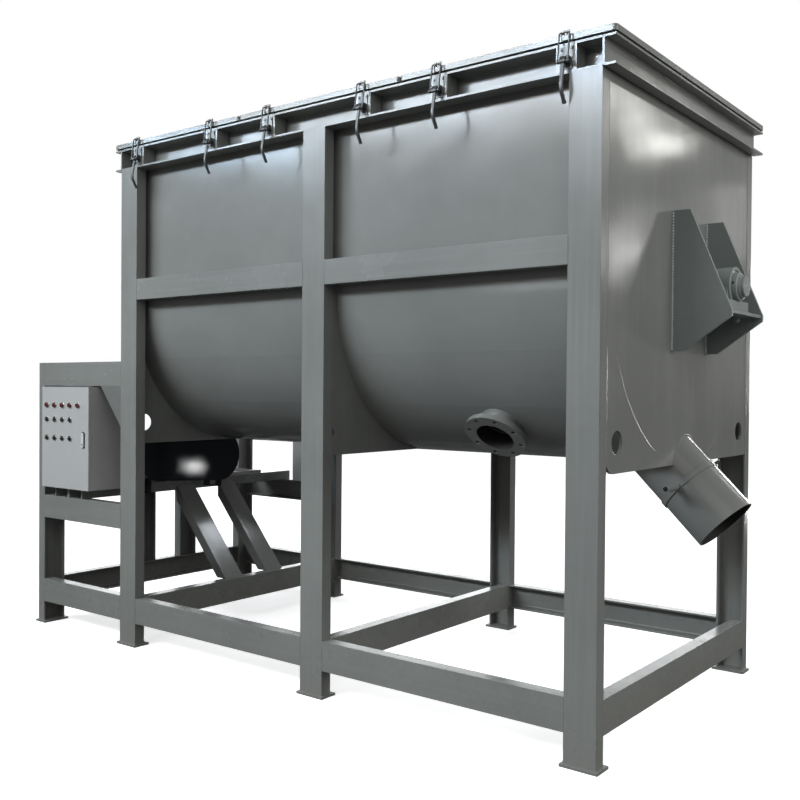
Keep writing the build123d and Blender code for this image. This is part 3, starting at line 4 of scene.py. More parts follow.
import bmesh
import bpy
from mathutils import Matrix, Vector


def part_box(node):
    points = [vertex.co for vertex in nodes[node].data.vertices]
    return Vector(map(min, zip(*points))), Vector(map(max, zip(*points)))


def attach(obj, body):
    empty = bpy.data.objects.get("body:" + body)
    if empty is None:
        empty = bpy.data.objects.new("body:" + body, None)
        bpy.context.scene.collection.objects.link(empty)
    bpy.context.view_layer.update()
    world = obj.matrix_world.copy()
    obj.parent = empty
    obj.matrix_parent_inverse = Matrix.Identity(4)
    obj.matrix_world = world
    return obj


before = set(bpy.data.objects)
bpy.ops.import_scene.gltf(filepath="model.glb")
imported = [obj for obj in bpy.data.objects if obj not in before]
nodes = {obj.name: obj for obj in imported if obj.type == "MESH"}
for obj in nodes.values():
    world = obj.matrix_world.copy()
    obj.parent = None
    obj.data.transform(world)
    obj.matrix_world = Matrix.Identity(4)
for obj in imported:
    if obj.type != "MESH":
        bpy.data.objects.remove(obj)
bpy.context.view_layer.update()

# The part's source is set out in mm from the frame's right end face and front face
shift_x = 1.51069
shift_y = -0.72975


def at(x, y, z):
    """A place of the source, in mm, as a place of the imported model, in metres."""
    return Vector((x / 1000 + shift_x, y / 1000 + shift_y, z / 1000))


# Sizes repeated or worked out from the source, in mm
leg_edges_x = (-120.0, -1210.0, -1330.0, -2425.0)
drive_end_x = -2545.0
flange = 53.0
frame_depth = 1500.0
mid_y = 750.0
axis_z = 1645.0
trough_radius = 670.0
plate_outer = -2.0
plate_weld_z = (978.0, 2303.0)
low_rail_z = (113.0, 233.0)
platform_rails_z = ((560.0, 680.0), (1258.0, 1378.0))
side_rail_z = (1672.0, 1772.0)
bracket_sides_y = (600.0, 612.0, 950.0, 962.0)
bracket_weld_z = (1406.0, 1926.0)
shaft_face_x = 191.0
bearing_face_x = 181.0
outlet_x = -575.0
outlet_tilt = math.radians(39.0)
outlet_neck_radius = 80.5
door_face_y = -50.5
switch_start_x = -3099.0
switch_pitch = 68.5
lamp_row_z = 1158.0
button_rows_z = (1085.0, 990.0)
lock_x = -2780.0
lock_z = 985.0
lock_face_y = -58.6
spindle_x = 15.16
spindle_z = 894.84

root_half = math.sqrt(0.5)
pipe_mouth = tuple(at(158.0, mid_y, 752.0))
pipe_axis = (root_half, 0.0, -root_half)
outlet_origin = tuple(at(outlet_x, mid_y, axis_z))
outlet_axis = (0.0, -math.sin(outlet_tilt), -math.cos(outlet_tilt))

# The radii, in metres, inside which the pipe and the outlet are painted dark, as painted shade in their
# hollows
pipe_bore_radius = 0.1155
outlet_bore_radius = 0.0758

# Camera, fitted to the photograph's perspective
camera_place = (2.89775, -3.57090, 1.25620)
camera_angles = (37.83, -0.69, 0.44)
focal_pixels = 953.89
picture_pixels = 800.0
sensor_mm = 36.0


def make_camera():
    yaw, pitch, roll = (math.radians(a) for a in camera_angles)
    forward = Vector((-math.sin(yaw) * math.cos(pitch), math.cos(yaw) * math.cos(pitch), math.sin(pitch)))
    level = Vector((math.cos(yaw), math.sin(yaw), 0))
    upright = level.cross(forward)
    right = level * math.cos(roll) + upright * math.sin(roll)
    up = upright * math.cos(roll) - level * math.sin(roll)
    data = bpy.data.cameras.new("camera")
    data.sensor_width = sensor_mm
    data.lens = focal_pixels * sensor_mm / picture_pixels
    data.clip_end = 200.0
    camera = bpy.data.objects.new("camera", data)
    turn = Matrix((right, up, -forward)).transposed().to_4x4()
    camera.matrix_world = Matrix.Translation(camera_place) @ turn
    bpy.context.scene.collection.objects.link(camera)
    bpy.context.scene.camera = camera


# Light and stage
sky_low = (0.030, 0.030, 0.029, 1)
sky_middle = (0.28, 0.285, 0.285, 1)
sky_top = (0.54, 0.56, 0.57, 1)
sky_low_reach = 0.46
sky_middle_reach = 0.56
floor_size = 60.0
floor_tone = (0.95, 0.95, 0.95, 1)
floor_bounce = (0.13, 0.13, 0.127, 1)
floor_glow = 0.62


def seen_by_camera(tree):
    """1 for what the camera sees of the background, 0 for light and reflections."""
    return tree.nodes.new("ShaderNodeLightPath").outputs["Is Camera Ray"]


def make_world():
    """White where it is seen, and an overcast sky that fades downwards as light."""
    world = bpy.data.worlds.new("studio")
    world.use_nodes = True
    tree = world.node_tree
    tree.nodes.clear()
    out = tree.nodes.new("ShaderNodeOutputWorld")
    mix = tree.nodes.new("ShaderNodeMixShader")
    seen = tree.nodes.new("ShaderNodeBackground")
    seen.inputs["Color"].default_value = (1, 1, 1, 1)
    sky = tree.nodes.new("ShaderNodeBackground")
    where = tree.nodes.new("ShaderNodeTexCoord")
    split = tree.nodes.new("ShaderNodeSeparateXYZ")
    ramp = tree.nodes.new("ShaderNodeValToRGB")
    spread = tree.nodes.new("ShaderNodeMapRange")
    spread.inputs["From Min"].default_value = -1.0
    spread.inputs["From Max"].default_value = 1.0
    tree.links.new(where.outputs["Generated"], split.inputs[0])
    tree.links.new(split.outputs["Z"], spread.inputs["Value"])
    tree.links.new(spread.outputs[0], ramp.inputs[0])
    ramp.color_ramp.elements[0].position = sky_low_reach
    ramp.color_ramp.elements[0].color = sky_low
    ramp.color_ramp.elements[1].position = 1.0
    ramp.color_ramp.elements[1].color = sky_top
    ramp.color_ramp.elements.new(sky_middle_reach).color = sky_middle
    tree.links.new(ramp.outputs[0], sky.inputs["Color"])
    tree.links.new(seen_by_camera(tree), mix.inputs[0])
    tree.links.new(sky.outputs[0], mix.inputs[1])
    tree.links.new(seen.outputs[0], mix.inputs[2])
    tree.links.new(mix.outputs[0], out.inputs[0])
    bpy.context.scene.world = world


def card(name, place, target, size, radiance, colour=(1, 1, 1), spread=180.0):
    """A lamp set by its brightness, as its reflection in gloss paint shows it."""
    data = bpy.data.lights.new(name, "AREA")
    data.shape = "RECTANGLE"
    data.size, data.size_y = size
    data.energy = radiance * math.pi * size[0] * size[1]
    data.spread = math.radians(spread)
    data.color = colour
    lamp = bpy.data.objects.new(name, data)
    lamp.location = place
    lamp.rotation_euler = (Vector(target) - Vector(place)).to_track_quat("-Z", "Y").to_euler()
    lamp.visible_camera = False
    bpy.context.scene.collection.objects.link(lamp)


def make_lights():
    """Broad lamps that light the machine, and small ones that show as highlights in its gloss paint."""
    card("key", (-2.4, -6.6, 4.75), (0, -0.7, 2.1), (6.6, 1.3), 5.1, (1.0, 0.995, 0.97), 110.0)

    # Blue sky in the web of the rim
    for number, place in enumerate(((-1.75, -6.50, 4.66), (-3.55, -5.95, 4.46), (-5.45, -5.25, 4.10))):
        card(f"rim_sky_{number}", place, (-0.2, -0.65, 2.36), (1.9, 0.34), 10.0, (0.62, 0.80, 1.0), 100.0)
    card("front", (4.6, -5.0, 5.4), (1.0, -0.4, 1.8), (5.0, 4.4), 0.85)
    card("side", (6.6, 0.4, 3.3), (1.5, 0, 1.6), (3.0, 2.2), 5.4, (1.0, 1.0, 0.98))

    # Windows and streaks in the end plate and the flange beside it
    plate_centre = (1.51, -0.4, 2.1)
    window_white = (1.0, 0.99, 0.95)
    for number, place in enumerate(((3.14, 2.79, 3.41), (3.10, 2.95, 3.29), (3.06, 3.11, 3.19))):
        card(f"window_high_{number}", place, plate_centre, (0.18, 0.20), 8.0, window_white)
    card("window_low", (3.01, 3.34, 3.10), plate_centre, (0.14, 0.14), 19.0, window_white)
    card("window_third", (3.13, 3.09, 2.28), plate_centre, (0.24, 0.15), 4.2)
    card("window_glow", (3.12, 3.14, 2.52), plate_centre, (0.18, 0.28), 1.6)
    card("leg_streak", (3.21, 2.94, 2.26), plate_centre, (0.08, 0.42), 9.0)
    card("right_streak", (2.76, 4.15, 2.60), plate_centre, (0.22, 0.60), 1.2)

    # Light from behind on the rails' tops and the edge of the discharge pipe
    card("horizon", (-5.0, 7.2, 2.0), (0, -0.5, 0.8), (13.0, 1.8), 1.7, (0.97, 0.99, 1.0), 120.0)
    card("pipe_edge", (1.75, 4.6, 1.7), (1.5, 0.0, 0.9), (0.4, 1.2), 3.0, (1, 1, 1), 70.0)

    # Highlights on the rim's right end, the braces, the belt guard and the right end of the side rail
    card("blue_sky", (-1.35, -6.60, 4.74), (1.40, -0.70, 2.36), (1.4, 0.30), 3.6, (0.45, 0.68, 1.0), 50.0)
    card("skylight", (-0.38, 1.95, 2.60), (-1.14, -0.05, 0.5), (0.26, 0.32), 26.0, (0.88, 0.93, 1.0))
    card("spot", (1.9, 2.4, 0.5), (-1.16, -0.17, 0.83), (0.05, 0.045), 150.0)
    card("door_gap", (-1.9, -6.8, 1.76), (0.6, -0.65, 1.6), (1.6, 0.09), 16.0)


def make_floor():
    """A plain pale floor that keeps the shadow and sends little light back up."""
    size = floor_size
    mesh = bpy.data.meshes.new("floor")
    corners = [(-size, -size, 0), (size, -size, 0), (size, size, 0), (-size, size, 0)]
    mesh.from_pydata(corners, [], [(0, 1, 2, 3)])
    floor = bpy.data.objects.new("floor", mesh)
    bpy.context.scene.collection.objects.link(floor)
    material = bpy.data.materials.new("floor")
    material.use_nodes = True
    tree = material.node_tree
    tree.nodes.clear()
    out = tree.nodes.new("ShaderNodeOutputMaterial")
    mix = tree.nodes.new("ShaderNodeMixShader")
    dim = tree.nodes.new("ShaderNodeBsdfDiffuse")
    dim.inputs["Color"].default_value = floor_bounce
    pale = tree.nodes.new("ShaderNodeBsdfDiffuse")
    pale.inputs["Color"].default_value = floor_tone
    glow = tree.nodes.new("ShaderNodeEmission")
    glow.inputs["Strength"].default_value = floor_glow
    both = tree.nodes.new("ShaderNodeAddShader")
    tree.links.new(pale.outputs[0], both.inputs[0])
    tree.links.new(glow.outputs[0], both.inputs[1])
    tree.links.new(seen_by_camera(tree), mix.inputs[0])
    tree.links.new(dim.outputs[0], mix.inputs[1])
    tree.links.new(both.outputs[0], mix.inputs[2])
    tree.links.new(mix.outputs[0], out.inputs["Surface"])
    mesh.materials.append(material)


# Materials
class Shader:
    """A material's node tree, with short calls for the nodes that the finishes share."""

    def __init__(self, name):
        self.material = bpy.data.materials.new(name)
        self.material.use_nodes = True
        self.tree = self.material.node_tree
        self.shader = self.tree.nodes["Principled BSDF"]
        self.where = self.tree.nodes.new("ShaderNodeTexCoord").outputs["Object"]

    def node(self, kind, **settings):
        made = self.tree.nodes.new(kind)
        for key, value in settings.items():
            setattr(made, key, value)
        return made

    def link(self, source, target):
        self.tree.links.new(source, target)

    def stretched(self, scale):
        """Object coordinates in metres, multiplied along each axis."""
        mapping = self.node("ShaderNodeMapping")
        mapping.inputs["Scale"].default_value = scale
        self.link(self.where, mapping.inputs[0])
        return mapping.outputs[0]

    def noise(self, scale, detail, rough, stretch=None):
        """Noise from 0 to 1, with its scale in patches per metre."""
        made = self.node("ShaderNodeTexNoise")
        self.link(self.stretched(stretch) if stretch else self.where, made.inputs["Vector"])
        made.inputs["Scale"].default_value = scale
        made.inputs["Detail"].default_value = detail
        made.inputs["Roughness"].default_value = rough
        return made.outputs["Fac"]

    def ranged(self, source, low, high, to_low=0.0, to_high=1.0):
        """A value taken from one range to another, and held at its ends."""
        made = self.node("ShaderNodeMapRange")
        for name, value in (("From Min", low), ("From Max", high), ("To Min", to_low), ("To Max", to_high)):
            made.inputs[name].default_value = value
        self.link(source, made.inputs["Value"])
        return made.outputs[0]

    def math(self, operation, first, second):
        """One operation on two values, each a number or another node's output."""
        made = self.node("ShaderNodeMath", operation=operation)
        for socket, value in zip(made.inputs, (first, second)):
            if isinstance(value, (int, float)):
                socket.default_value = value
            else:
                self.link(value, socket)
        return made.outputs[0]

    def blend(self, factor, first, second):
        """A colour that goes from the first to the second by the factor."""
        made = self.node("ShaderNodeMix", data_type="RGBA")
        self.link(factor, made.inputs["Factor"])
        for socket, value in ((made.inputs["A"], first), (made.inputs["B"], second)):
            if isinstance(value, tuple):
                socket.default_value = (*value, 1)
            else:
                self.link(value, socket)
        return made.outputs["Result"]

    def place(self, axis):
        """The point's own coordinate along one axis, in metres."""
        split = self.node("ShaderNodeSeparateXYZ")
        self.link(self.where, split.inputs[0])
        return split.outputs[axis]

    def within(self, centre, axis, radius):
        """1 inside a cylinder about the axis through the centre, 0 outside it."""
        offset = self.node("ShaderNodeVectorMath", operation="SUBTRACT")
        offset.inputs[1].default_value = centre
        self.link(self.where, offset.inputs[0])
        across = self.node("ShaderNodeVectorMath", operation="CROSS_PRODUCT")
        across.inputs[1].default_value = axis
        self.link(offset.outputs[0], across.inputs[0])
        length = self.node("ShaderNodeVectorMath", operation="LENGTH")
        self.link(across.outputs[0], length.inputs[0])
        return self.math("LESS_THAN", length.outputs["Value"], radius)

    def edges(self, radius):
        """1 on an edge and 0 on a flat face, and the normal with its edges rounded."""
        bevel = self.node("ShaderNodeBevel", samples=4)
        bevel.inputs["Radius"].default_value = radius
        geometry = self.node("ShaderNodeNewGeometry")
        dot = self.node("ShaderNodeVectorMath", operation="DOT_PRODUCT")
        self.link(bevel.outputs[0], dot.inputs[0])
        self.link(geometry.outputs["Normal"], dot.inputs[1])
        return self.ranged(dot.outputs["Value"], 0.995, 0.80), bevel.outputs[0]

    def bump(self, source, distance, strength, normal=None):
        """A normal with the source's relief, distance metres high, on another normal."""
        made = self.node("ShaderNodeBump")
        made.inputs["Distance"].default_value = distance
        made.inputs["Strength"].default_value = strength
        self.link(source, made.inputs["Height"])
        if normal is not None:
            self.link(normal, made.inputs["Normal"])
        return made.outputs[0]

    def put(self, name, value):
        """Sets one of the shader's own sockets, or links an output to it."""
        socket = self.shader.inputs[name]
        if isinstance(value, (int, float)):
            socket.default_value = value
        elif isinstance(value, tuple):
            socket.default_value = (*value, 1)
        else:
            self.link(value, socket)


grey = (0.214, 0.219, 0.206)
dust_tone = (0.21, 0.19, 0.155)
# Almost black: painted shade inside the pipe and the outlet
bore_shade_tone = (0.022, 0.021, 0.019)
stain_tone = (0.20, 0.17, 0.13)
zinc_dark = (0.12, 0.123, 0.123)
zinc_pale = (0.20, 0.205, 0.203)
lamp_tint = (0.12, 0.012, 0.012)

# Heights between which dust grows, and how far the clamps' paint reaches before the frame's face, in metres
dust_top_z = 0.36
dust_full_z = 0.10
clamp_coat_reach = 0.0005

# Patches of noise in a metre along x, y and z
upright_stroke = (55.0, 55.0, 1.6)
long_stroke = (1.6, 55.0, 55.0)
brace_stroke = (1.5, 110.0, 1.5)
plate_stroke = (13.0, 13.0, 1.6)
turned_grain = (900.0, 900.0, 60.0)


def times(colour, factor):
    return tuple(c * factor for c in colour)


def paint(name, colour, roughness, stroke=None, wave=0.0016, peel=0.00012, edge=0.0025, dust=0.25, patch=0.10,
          stroke_depth=0.0005, bore=None):
    """Sprayed gloss paint: cloudy tone, orange peel, a slightly wavy sheet, worn edges and dust low down.

    wave, peel and stroke_depth are heights of relief and edge is a width, all in metres. bore is a
    cylinder, as its centre, axis and radius, inside which the surface is painted dark as shade and made dull.
    """
    s = Shader(name)
    cloud = s.noise(1.7, 4.0, 0.55)
    mottle = s.noise(14.0, 5.0, 0.6)
    tone = s.blend(s.ranged(cloud, 0.35, 0.68), times(colour, 1.0 - patch), times(colour, 1.0 + patch))
    tone = s.blend(s.ranged(mottle, 0.3, 0.75, 0.0, 0.35), tone, times(colour, 0.88))
    if stroke:
        streaks = s.noise(1.0, 4.0, 0.6, stroke)
        tone = s.blend(s.ranged(streaks, 0.45, 0.8, 0.0, 0.45), tone, times(colour, 1.22))
    height = s.math("ADD", s.place("Z"), s.math("MULTIPLY", mottle, 0.25))
    low = s.ranged(height, dust_top_z, dust_full_z, 0.0, dust)
    tone = s.blend(low, tone, dust_tone)
    worn, normal = s.edges(edge)
    wear = s.math("MULTIPLY", worn, s.ranged(s.noise(38.0, 4.0, 0.7), 0.50, 0.72))
    tone = s.blend(s.math("MULTIPLY", wear, 0.55), tone, times(colour, 1.55))
    s.put("Specular IOR Level", 0.32)
    smears = s.ranged(s.noise(5.0, 5.0, 0.65), 0.30, 0.75, roughness * 0.82, roughness * 1.30)
    dull = s.math("MULTIPLY", low, 0.6)
    # Painted shade: inside the bore the colour goes almost black, as the shade in the hollow
    if bore:
        inside = s.within(*bore)
        tone = s.blend(inside, tone, bore_shade_tone)
        dull = s.math("ADD", dull, s.math("MULTIPLY", inside, 0.4))
    s.put("Base Color", tone)
    s.put("Roughness", s.math("ADD", smears, dull))
    normal = s.bump(s.noise(3.2, 1.0, 0.4), wave, 1.0, normal)
    if stroke:
        normal = s.bump(s.noise(1.0, 3.0, 0.5, stroke), stroke_depth, 1.0, normal)
    normal = s.bump(s.noise(420.0, 1.0, 0.4), peel, 0.6, normal)
    s.put("Normal", normal)
    return s.material


def clamp_base_metal(name, front):
    """Machine paint on the clamps' boxes, dull zinc on what stands in front of the frame's face."""
    s = Shader(name)
    cloud = s.noise(40.0, 5.0, 0.6)
    proud = s.math("LESS_THAN", s.place("Y"), front)
    zinc = s.blend(s.ranged(cloud, 0.3, 0.7), zinc_dark, zinc_pale)
    coat = s.blend(s.ranged(cloud, 0.3, 0.7), grey, times(grey, 1.22))
    worn, normal = s.edges(0.0010)
    tone = s.blend(proud, coat, zinc)
    s.put("Base Color", s.blend(s.math("MULTIPLY", worn, 0.4), tone, times(grey, 1.9)))
    s.put("Metallic", proud)
    s.put("Roughness", s.math("ADD", s.math("MULTIPLY", proud, 0.28), s.ranged(cloud, 0.3, 0.7, 0.14, 0.24)))
    s.put("Specular IOR Level", 0.4)
    s.put("Normal", normal)
    return s.material


def bare_metal(name, colour, roughness, grain=turned_grain, edge=0.0006, stained=0.20):
    """Bare or plated metal with a grain, cloudy gloss and some staining."""
    s = Shader(name)
    cloud = s.noise(22.0, 5.0, 0.6)
    tone = s.blend(s.ranged(cloud, 0.3, 0.7), times(colour, 0.86), times(colour, 1.05))
    spots = s.ranged(s.noise(60.0, 6.0, 0.7), 0.55, 0.75, 0.0, stained)
    tone = s.blend(spots, tone, stain_tone)
    worn, normal = s.edges(edge)
    tone = s.blend(s.math("MULTIPLY", worn, 0.35), tone, times(colour, 1.25))
    s.put("Base Color", tone)
    s.put("Metallic", 1.0)
    lines = s.noise(1.0, 3.0, 0.6, grain)
    s.put("Roughness", s.ranged(lines, 0.3, 0.7, roughness * 0.75, roughness * 1.35))
    s.put("Normal", s.bump(lines, 0.00004, 0.6, normal))
    return s.material


def plastic(name, colour, roughness, texture=0.00003, specular=0.5):
    """Moulded plastic or rubber with a fine surface texture."""
    s = Shader(name)
    cloud = s.noise(30.0, 4.0, 0.6)
    tone = s.blend(s.ranged(cloud, 0.3, 0.7), times(colour, 0.85), times(colour, 1.15))
    worn, normal = s.edges(0.0006)
    tone = s.blend(s.math("MULTIPLY", worn, 0.4), tone, times(colour, 1.6))
    s.put("Base Color", tone)
    s.put("Roughness", s.ranged(s.noise(90.0, 3.0, 0.6), 0.3, 0.7, roughness * 0.85, roughness * 1.2))
    s.put("Normal", s.bump(s.noise(1500.0, 1.0, 0.5), texture, 0.6, normal))
    s.put("Specular IOR Level", specular)
    return s.material


def lamp_glass(name, colour):
    """The tinted lens of a small lamp, unlit."""
    s = Shader(name)
    rings = s.noise(400.0, 2.0, 0.5)
    s.put("Base Color", s.blend(s.ranged(rings, 0.35, 0.65), times(colour, 0.7), times(colour, 1.2)))
    s.put("Roughness", s.ranged(s.noise(80.0, 3.0, 0.5), 0.3, 0.7, 0.10, 0.22))
    s.put("Coat Weight", 0.8)
    s.put("Normal", s.bump(rings, 0.0002, 0.5))
    return s.material


paints = {
    "frame_paint": dict(colour=grey, roughness=0.20, stroke=upright_stroke),
    # Painted shade: the braces' grey darkened to 0.76 of the frame's, against the lamps that light their
    # faces
    "brace_paint": dict(colour=times(grey, 0.76), roughness=0.13, stroke=brace_stroke, wave=0.0020,
                        stroke_depth=0.0009),
    "rail_paint": dict(colour=grey, roughness=0.24, stroke=long_stroke),
    "trough_paint": dict(colour=grey, roughness=0.14, wave=0.0026, edge=0.0015, dust=0.05),
    "plate_paint": dict(colour=grey, roughness=0.13, stroke=plate_stroke, wave=0.0032, edge=0.0015, dust=0.05,
                        stroke_depth=0.0004),
    "lid_paint": dict(colour=grey, roughness=0.18, stroke=long_stroke, wave=0.0040, edge=0.0006, dust=0.0),
    "pipe_paint": dict(colour=times(grey, 0.93), roughness=0.17, wave=0.0010, edge=0.0015, dust=0.05,
                       bore=(pipe_mouth, pipe_axis, pipe_bore_radius)),
    "outlet_paint": dict(colour=times(grey, 0.86), roughness=0.17, wave=0.0010, edge=0.0008, dust=0.0,
                         bore=(outlet_origin, outlet_axis, outlet_bore_radius)),
    "bracket_paint": dict(colour=(0.250, 0.276, 0.270), roughness=0.22, wave=0.0015, dust=0.0),
    "guard_paint": dict(colour=grey, roughness=0.32, wave=0.0012, dust=0.05),
    "reducer_paint": dict(colour=(0.075, 0.105, 0.13), roughness=0.35, wave=0.0010, dust=0.15),
    "motor_paint": dict(colour=(0.012, 0.018, 0.035), roughness=0.25, wave=0.0008, dust=0.10),
    "cover_black": dict(colour=(0.012, 0.013, 0.019), roughness=0.035, wave=0.0008, peel=0.00008, dust=0.0),
    "cabinet_paint": dict(colour=(0.44, 0.44, 0.43), roughness=0.34, wave=0.0006, peel=0.0002, dust=0.0,
                          patch=0.03),
    # Painted shadow: the dark paint of the band round the pipe at the valve, which the ear on it shares
    "pipe_dark": dict(colour=times(grey, 0.22), roughness=0.24, wave=0.0, edge=0.0008, dust=0.0),
    # Painted highlights: the beads' grey lightened, 2.4 times on the brackets' coarse beads and 1.15 times on
    # the other welds
    "weld_bright": dict(colour=times(grey, 2.4), roughness=0.22, wave=0.0, edge=0.0004, dust=0.0),
    "weld_paint": dict(colour=times(grey, 1.15), roughness=0.18, wave=0.0, edge=0.0004, dust=0.0),
}

metals = {
    "clamp_zinc": dict(colour=(0.145, 0.147, 0.147), roughness=0.50, grain=(90.0, 90.0, 900.0), stained=0.25),
    "shaft_steel": dict(colour=(0.56, 0.55, 0.54), roughness=0.26, grain=(40.0, 900.0, 900.0)),
    "ribbon_steel": dict(colour=(0.42, 0.41, 0.40), roughness=0.42, grain=(120.0, 120.0, 120.0),
                         stained=0.35),
    "chain_steel": dict(colour=(0.24, 0.23, 0.22), roughness=0.38, stained=0.4),
    "chrome": dict(colour=(0.70, 0.70, 0.70), roughness=0.12, grain=(300.0, 300.0, 300.0), edge=0.0003,
                   stained=0.0),
}

plastics = {
    "gasket_rubber": dict(colour=(0.060, 0.062, 0.060), roughness=0.62, texture=0.00008, specular=0.3),
    "belt_rubber": dict(colour=(0.020, 0.020, 0.020), roughness=0.65, texture=0.00008, specular=0.3),
    "switch_black": dict(colour=(0.012, 0.012, 0.012), roughness=0.25),
    # Painted reflection: the lock's metal is given a pale diffuse grey for the bright reflection it shows
    "lock_pale": dict(colour=(0.60, 0.60, 0.58), roughness=0.30),
    "white_mark": dict(colour=(0.72, 0.72, 0.70), roughness=0.35),
}

# The nodes, or the starts of their names, that each finish goes on
finish_nodes = {
    "frame_paint": ("frame_legs",),
    "rail_paint": ("frame_rails", "platform_rails", "lid_hinges"),
    "brace_paint": ("platform_braces",),
    "trough_paint": ("trough_shell",),
    "plate_paint": ("trough_plates",),
    "lid_paint": ("rim_channels", "lid_panel"),
    "clamp_base": ("clamp_brackets",),
    "clamp_zinc": ("clamp_lever", "clamp_loop"),
    "bracket_paint": ("bearing_brackets", "bearing_housings", "bearing_bolts", "shaft_seals"),
    "shaft_steel": ("main_shaft",),
    "ribbon_steel": ("mixing_ribbons", "ribbon_spokes", "motor_slides"),
    "chain_steel": ("main_sprocket", "drive_chain", "reducer_input", "reducer_output", "motor_shaft"),
    "guard_paint": ("chain_guard",),
    "reducer_paint": ("reducer_housing",),
    "motor_paint": ("drive_motor",),
    "belt_rubber": ("motor_cable", "drive_belts"),
    "gasket_rubber": ("rim_gasket",),
    "cover_black": ("belt_guard",),
    "pipe_paint": ("discharge_pipe", "valve_disc"),
    "outlet_paint": ("side_outlet",),
    "cabinet_paint": ("cabinet_body", "cabinet_door", "mains_enclosure"),
    "lock_pale": ("door_lock",),
    "lamp_red": ("indicator_lamps",),
    "switch_black": ("push_button",),
}


def make_materials():
    """Every finish by its name."""
    made = {}
    for kind, looks in ((paint, paints), (bare_metal, metals), (plastic, plastics)):
        for name, look in looks.items():
            made[name] = kind(name, **look)
    made["clamp_base"] = clamp_base_metal("clamp_base", shift_y - clamp_coat_reach)
    made["lamp_red"] = lamp_glass("lamp_red", lamp_tint)
    return made


def dress(materials):
    """Each CAD node gets its material, one slot for the whole node."""
    for name, node in nodes.items():
        finish = next(key for key, starts in finish_nodes.items() if name.startswith(starts))
        node.data.materials.clear()
        node.data.materials.append(materials[finish])


# Detail pieces
sharp_angle = math.radians(32.0)
smallest_radius = 0.01


class Piece:
    """Collects tubes, turned shapes and prisms in one mesh, in the source's mm."""

    def __init__(self):
        self.verts = []
        self.faces = []

    def add(self, verts, faces):
        first = len(self.verts)
        self.verts += [Vector(v) for v in verts]
        self.faces += [[first + k for k in face] for face in faces]

    def rings(self, rings, closed=False):
        """Joins rings of points, each as long as the others, back to the first or with an end cap each."""
        count = len(rings[0])
        faces = []
        last = len(rings) if closed else len(rings) - 1
        for i in range(last):
            a, b = i * count, ((i + 1) % len(rings)) * count
            for k in range(count):
                n = (k + 1) % count
                faces.append([a + k, a + n, b + n, b + k])
        if not closed:
            faces.append(list(range(count))[::-1])
            faces.append([(len(rings) - 1) * count + k for k in range(count)])
        self.add([v for ring in rings for v in ring], faces)

    def tube(self, points, radii, sides, closed=False):
        """A round tube through the points, with a radius for each."""
        side = None
        rings = []
        for i, point in enumerate(points):
            before = points[i - 1] if i or closed else point
            after = points[(i + 1) % len(points)] if i + 1 < len(points) or closed else point
            ahead = (after - before).normalized()
            if side is None:
                side = ahead.orthogonal().normalized()
            side = (side - ahead * side.dot(ahead)).normalized()
            other = ahead.cross(side)
            rings.append([point + (side * math.cos(a) + other * math.sin(a)) * radii[i]
                          for a in (2 * math.pi * k / sides for k in range(sides))])
        self.rings(rings, closed)

    def turned(self, profile, base, axis, sides, closed=False):
        """A profile of (radius, distance along the axis) turned about the axis, closed for a ring."""
        base, axis = Vector(base), Vector(axis).normalized()
        side = axis.orthogonal().normalized()
        other = axis.cross(side)
        rings = []
        for radius, reach in profile:
            reached = max(radius, smallest_radius)
            rings.append([base + axis * reach + (side * math.cos(a) + other * math.sin(a)) * reached
                          for a in (2 * math.pi * k / sides for k in range(sides))])
        self.rings(rings, closed)

    def bead(self, points, radius, step=None, closed=False, ripple=0.16):
        """A weld bead: a tube with the ripple of its passes."""
        step = step or radius * 0.8
        path = []
        ends = points[1:] + points[:1] if closed else points[1:]
        for a, b in zip(points, ends):
            a, b = Vector(a), Vector(b)
            count = max(1, round((b - a).length / step))
            path += [a.lerp(b, k / count) for k in range(count)]
        if not closed:
            path.append(Vector(points[-1]))
        radii = []
        for k in range(len(path)):
            slow_swell = 0.10 * math.sin(k * 0.37 + 1.3)
            radii.append(radius * (1.0 + ripple * math.sin(k * 2.1) + slow_swell))
        self.tube(path, radii, 6, closed)

    def prism(self, corners, depth, bevel):
        """A flat shape moved along a vector, its outer edges cut back by the bevel."""
        corners = [Vector(v) for v in corners]
        depth = Vector(depth)
        centre = sum(corners, Vector()) / len(corners)
        inward = [(centre - v).normalized() * bevel for v in corners]
        step = depth.normalized() * bevel
        self.rings([[v + i for v, i in zip(corners, inward)], [v + step for v in corners],
                    [v + depth - step for v in corners], [v + depth + i for v, i in zip(corners, inward)]])

    def done(self, name, material, body):
        """Makes the object, in metres, with its sharp edges marked, riding on a body."""
        mesh = bpy.data.meshes.new(name)
        mesh.from_pydata([at(*v) for v in self.verts], [], self.faces)
        work = bmesh.new()
        work.from_mesh(mesh)
        bmesh.ops.recalc_face_normals(work, faces=work.faces)
        for edge in work.edges:
            edge.smooth = len(edge.link_faces) != 2 or edge.calc_face_angle(0.0) < sharp_angle
        for face in work.faces:
            face.smooth = True
        work.to_mesh(mesh)
        work.free()
        mesh.materials.append(material)
        made = bpy.data.objects.new(name, mesh)
        bpy.context.scene.collection.objects.link(made)
        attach(made, body)


def far_side(point):
    """The mirror place at the drive end."""
    return (drive_end_x - point[0], point[1], point[2])


def circle_points(centre, u, v, radius, first, last, count):
    """Points on an arc from one angle to another, in degrees from u towards v."""
    centre, u, v = Vector(centre), Vector(u), Vector(v)
    angles = [math.radians(first + (last - first) * k / count) for k in range(count + 1)]
    return [centre + (u * math.cos(a) + v * math.sin(a)) * radius for a in angles]


def bracket_beads(material):
    """The coarse beads that hold the bearing brackets' plates on the end plates, lightened as a painted
    highlight.
    """
    radius, ripple = 4.6, 0.55
    beads = Piece()
    for y in bracket_sides_y:
        line = [(plate_outer + 1, y, z) for z in bracket_weld_z]
        beads.bead(line, radius, ripple=ripple)
        beads.bead([far_side(v) for v in line], radius, ripple=ripple)
    beads.done("bracket_beads", material, "frame")


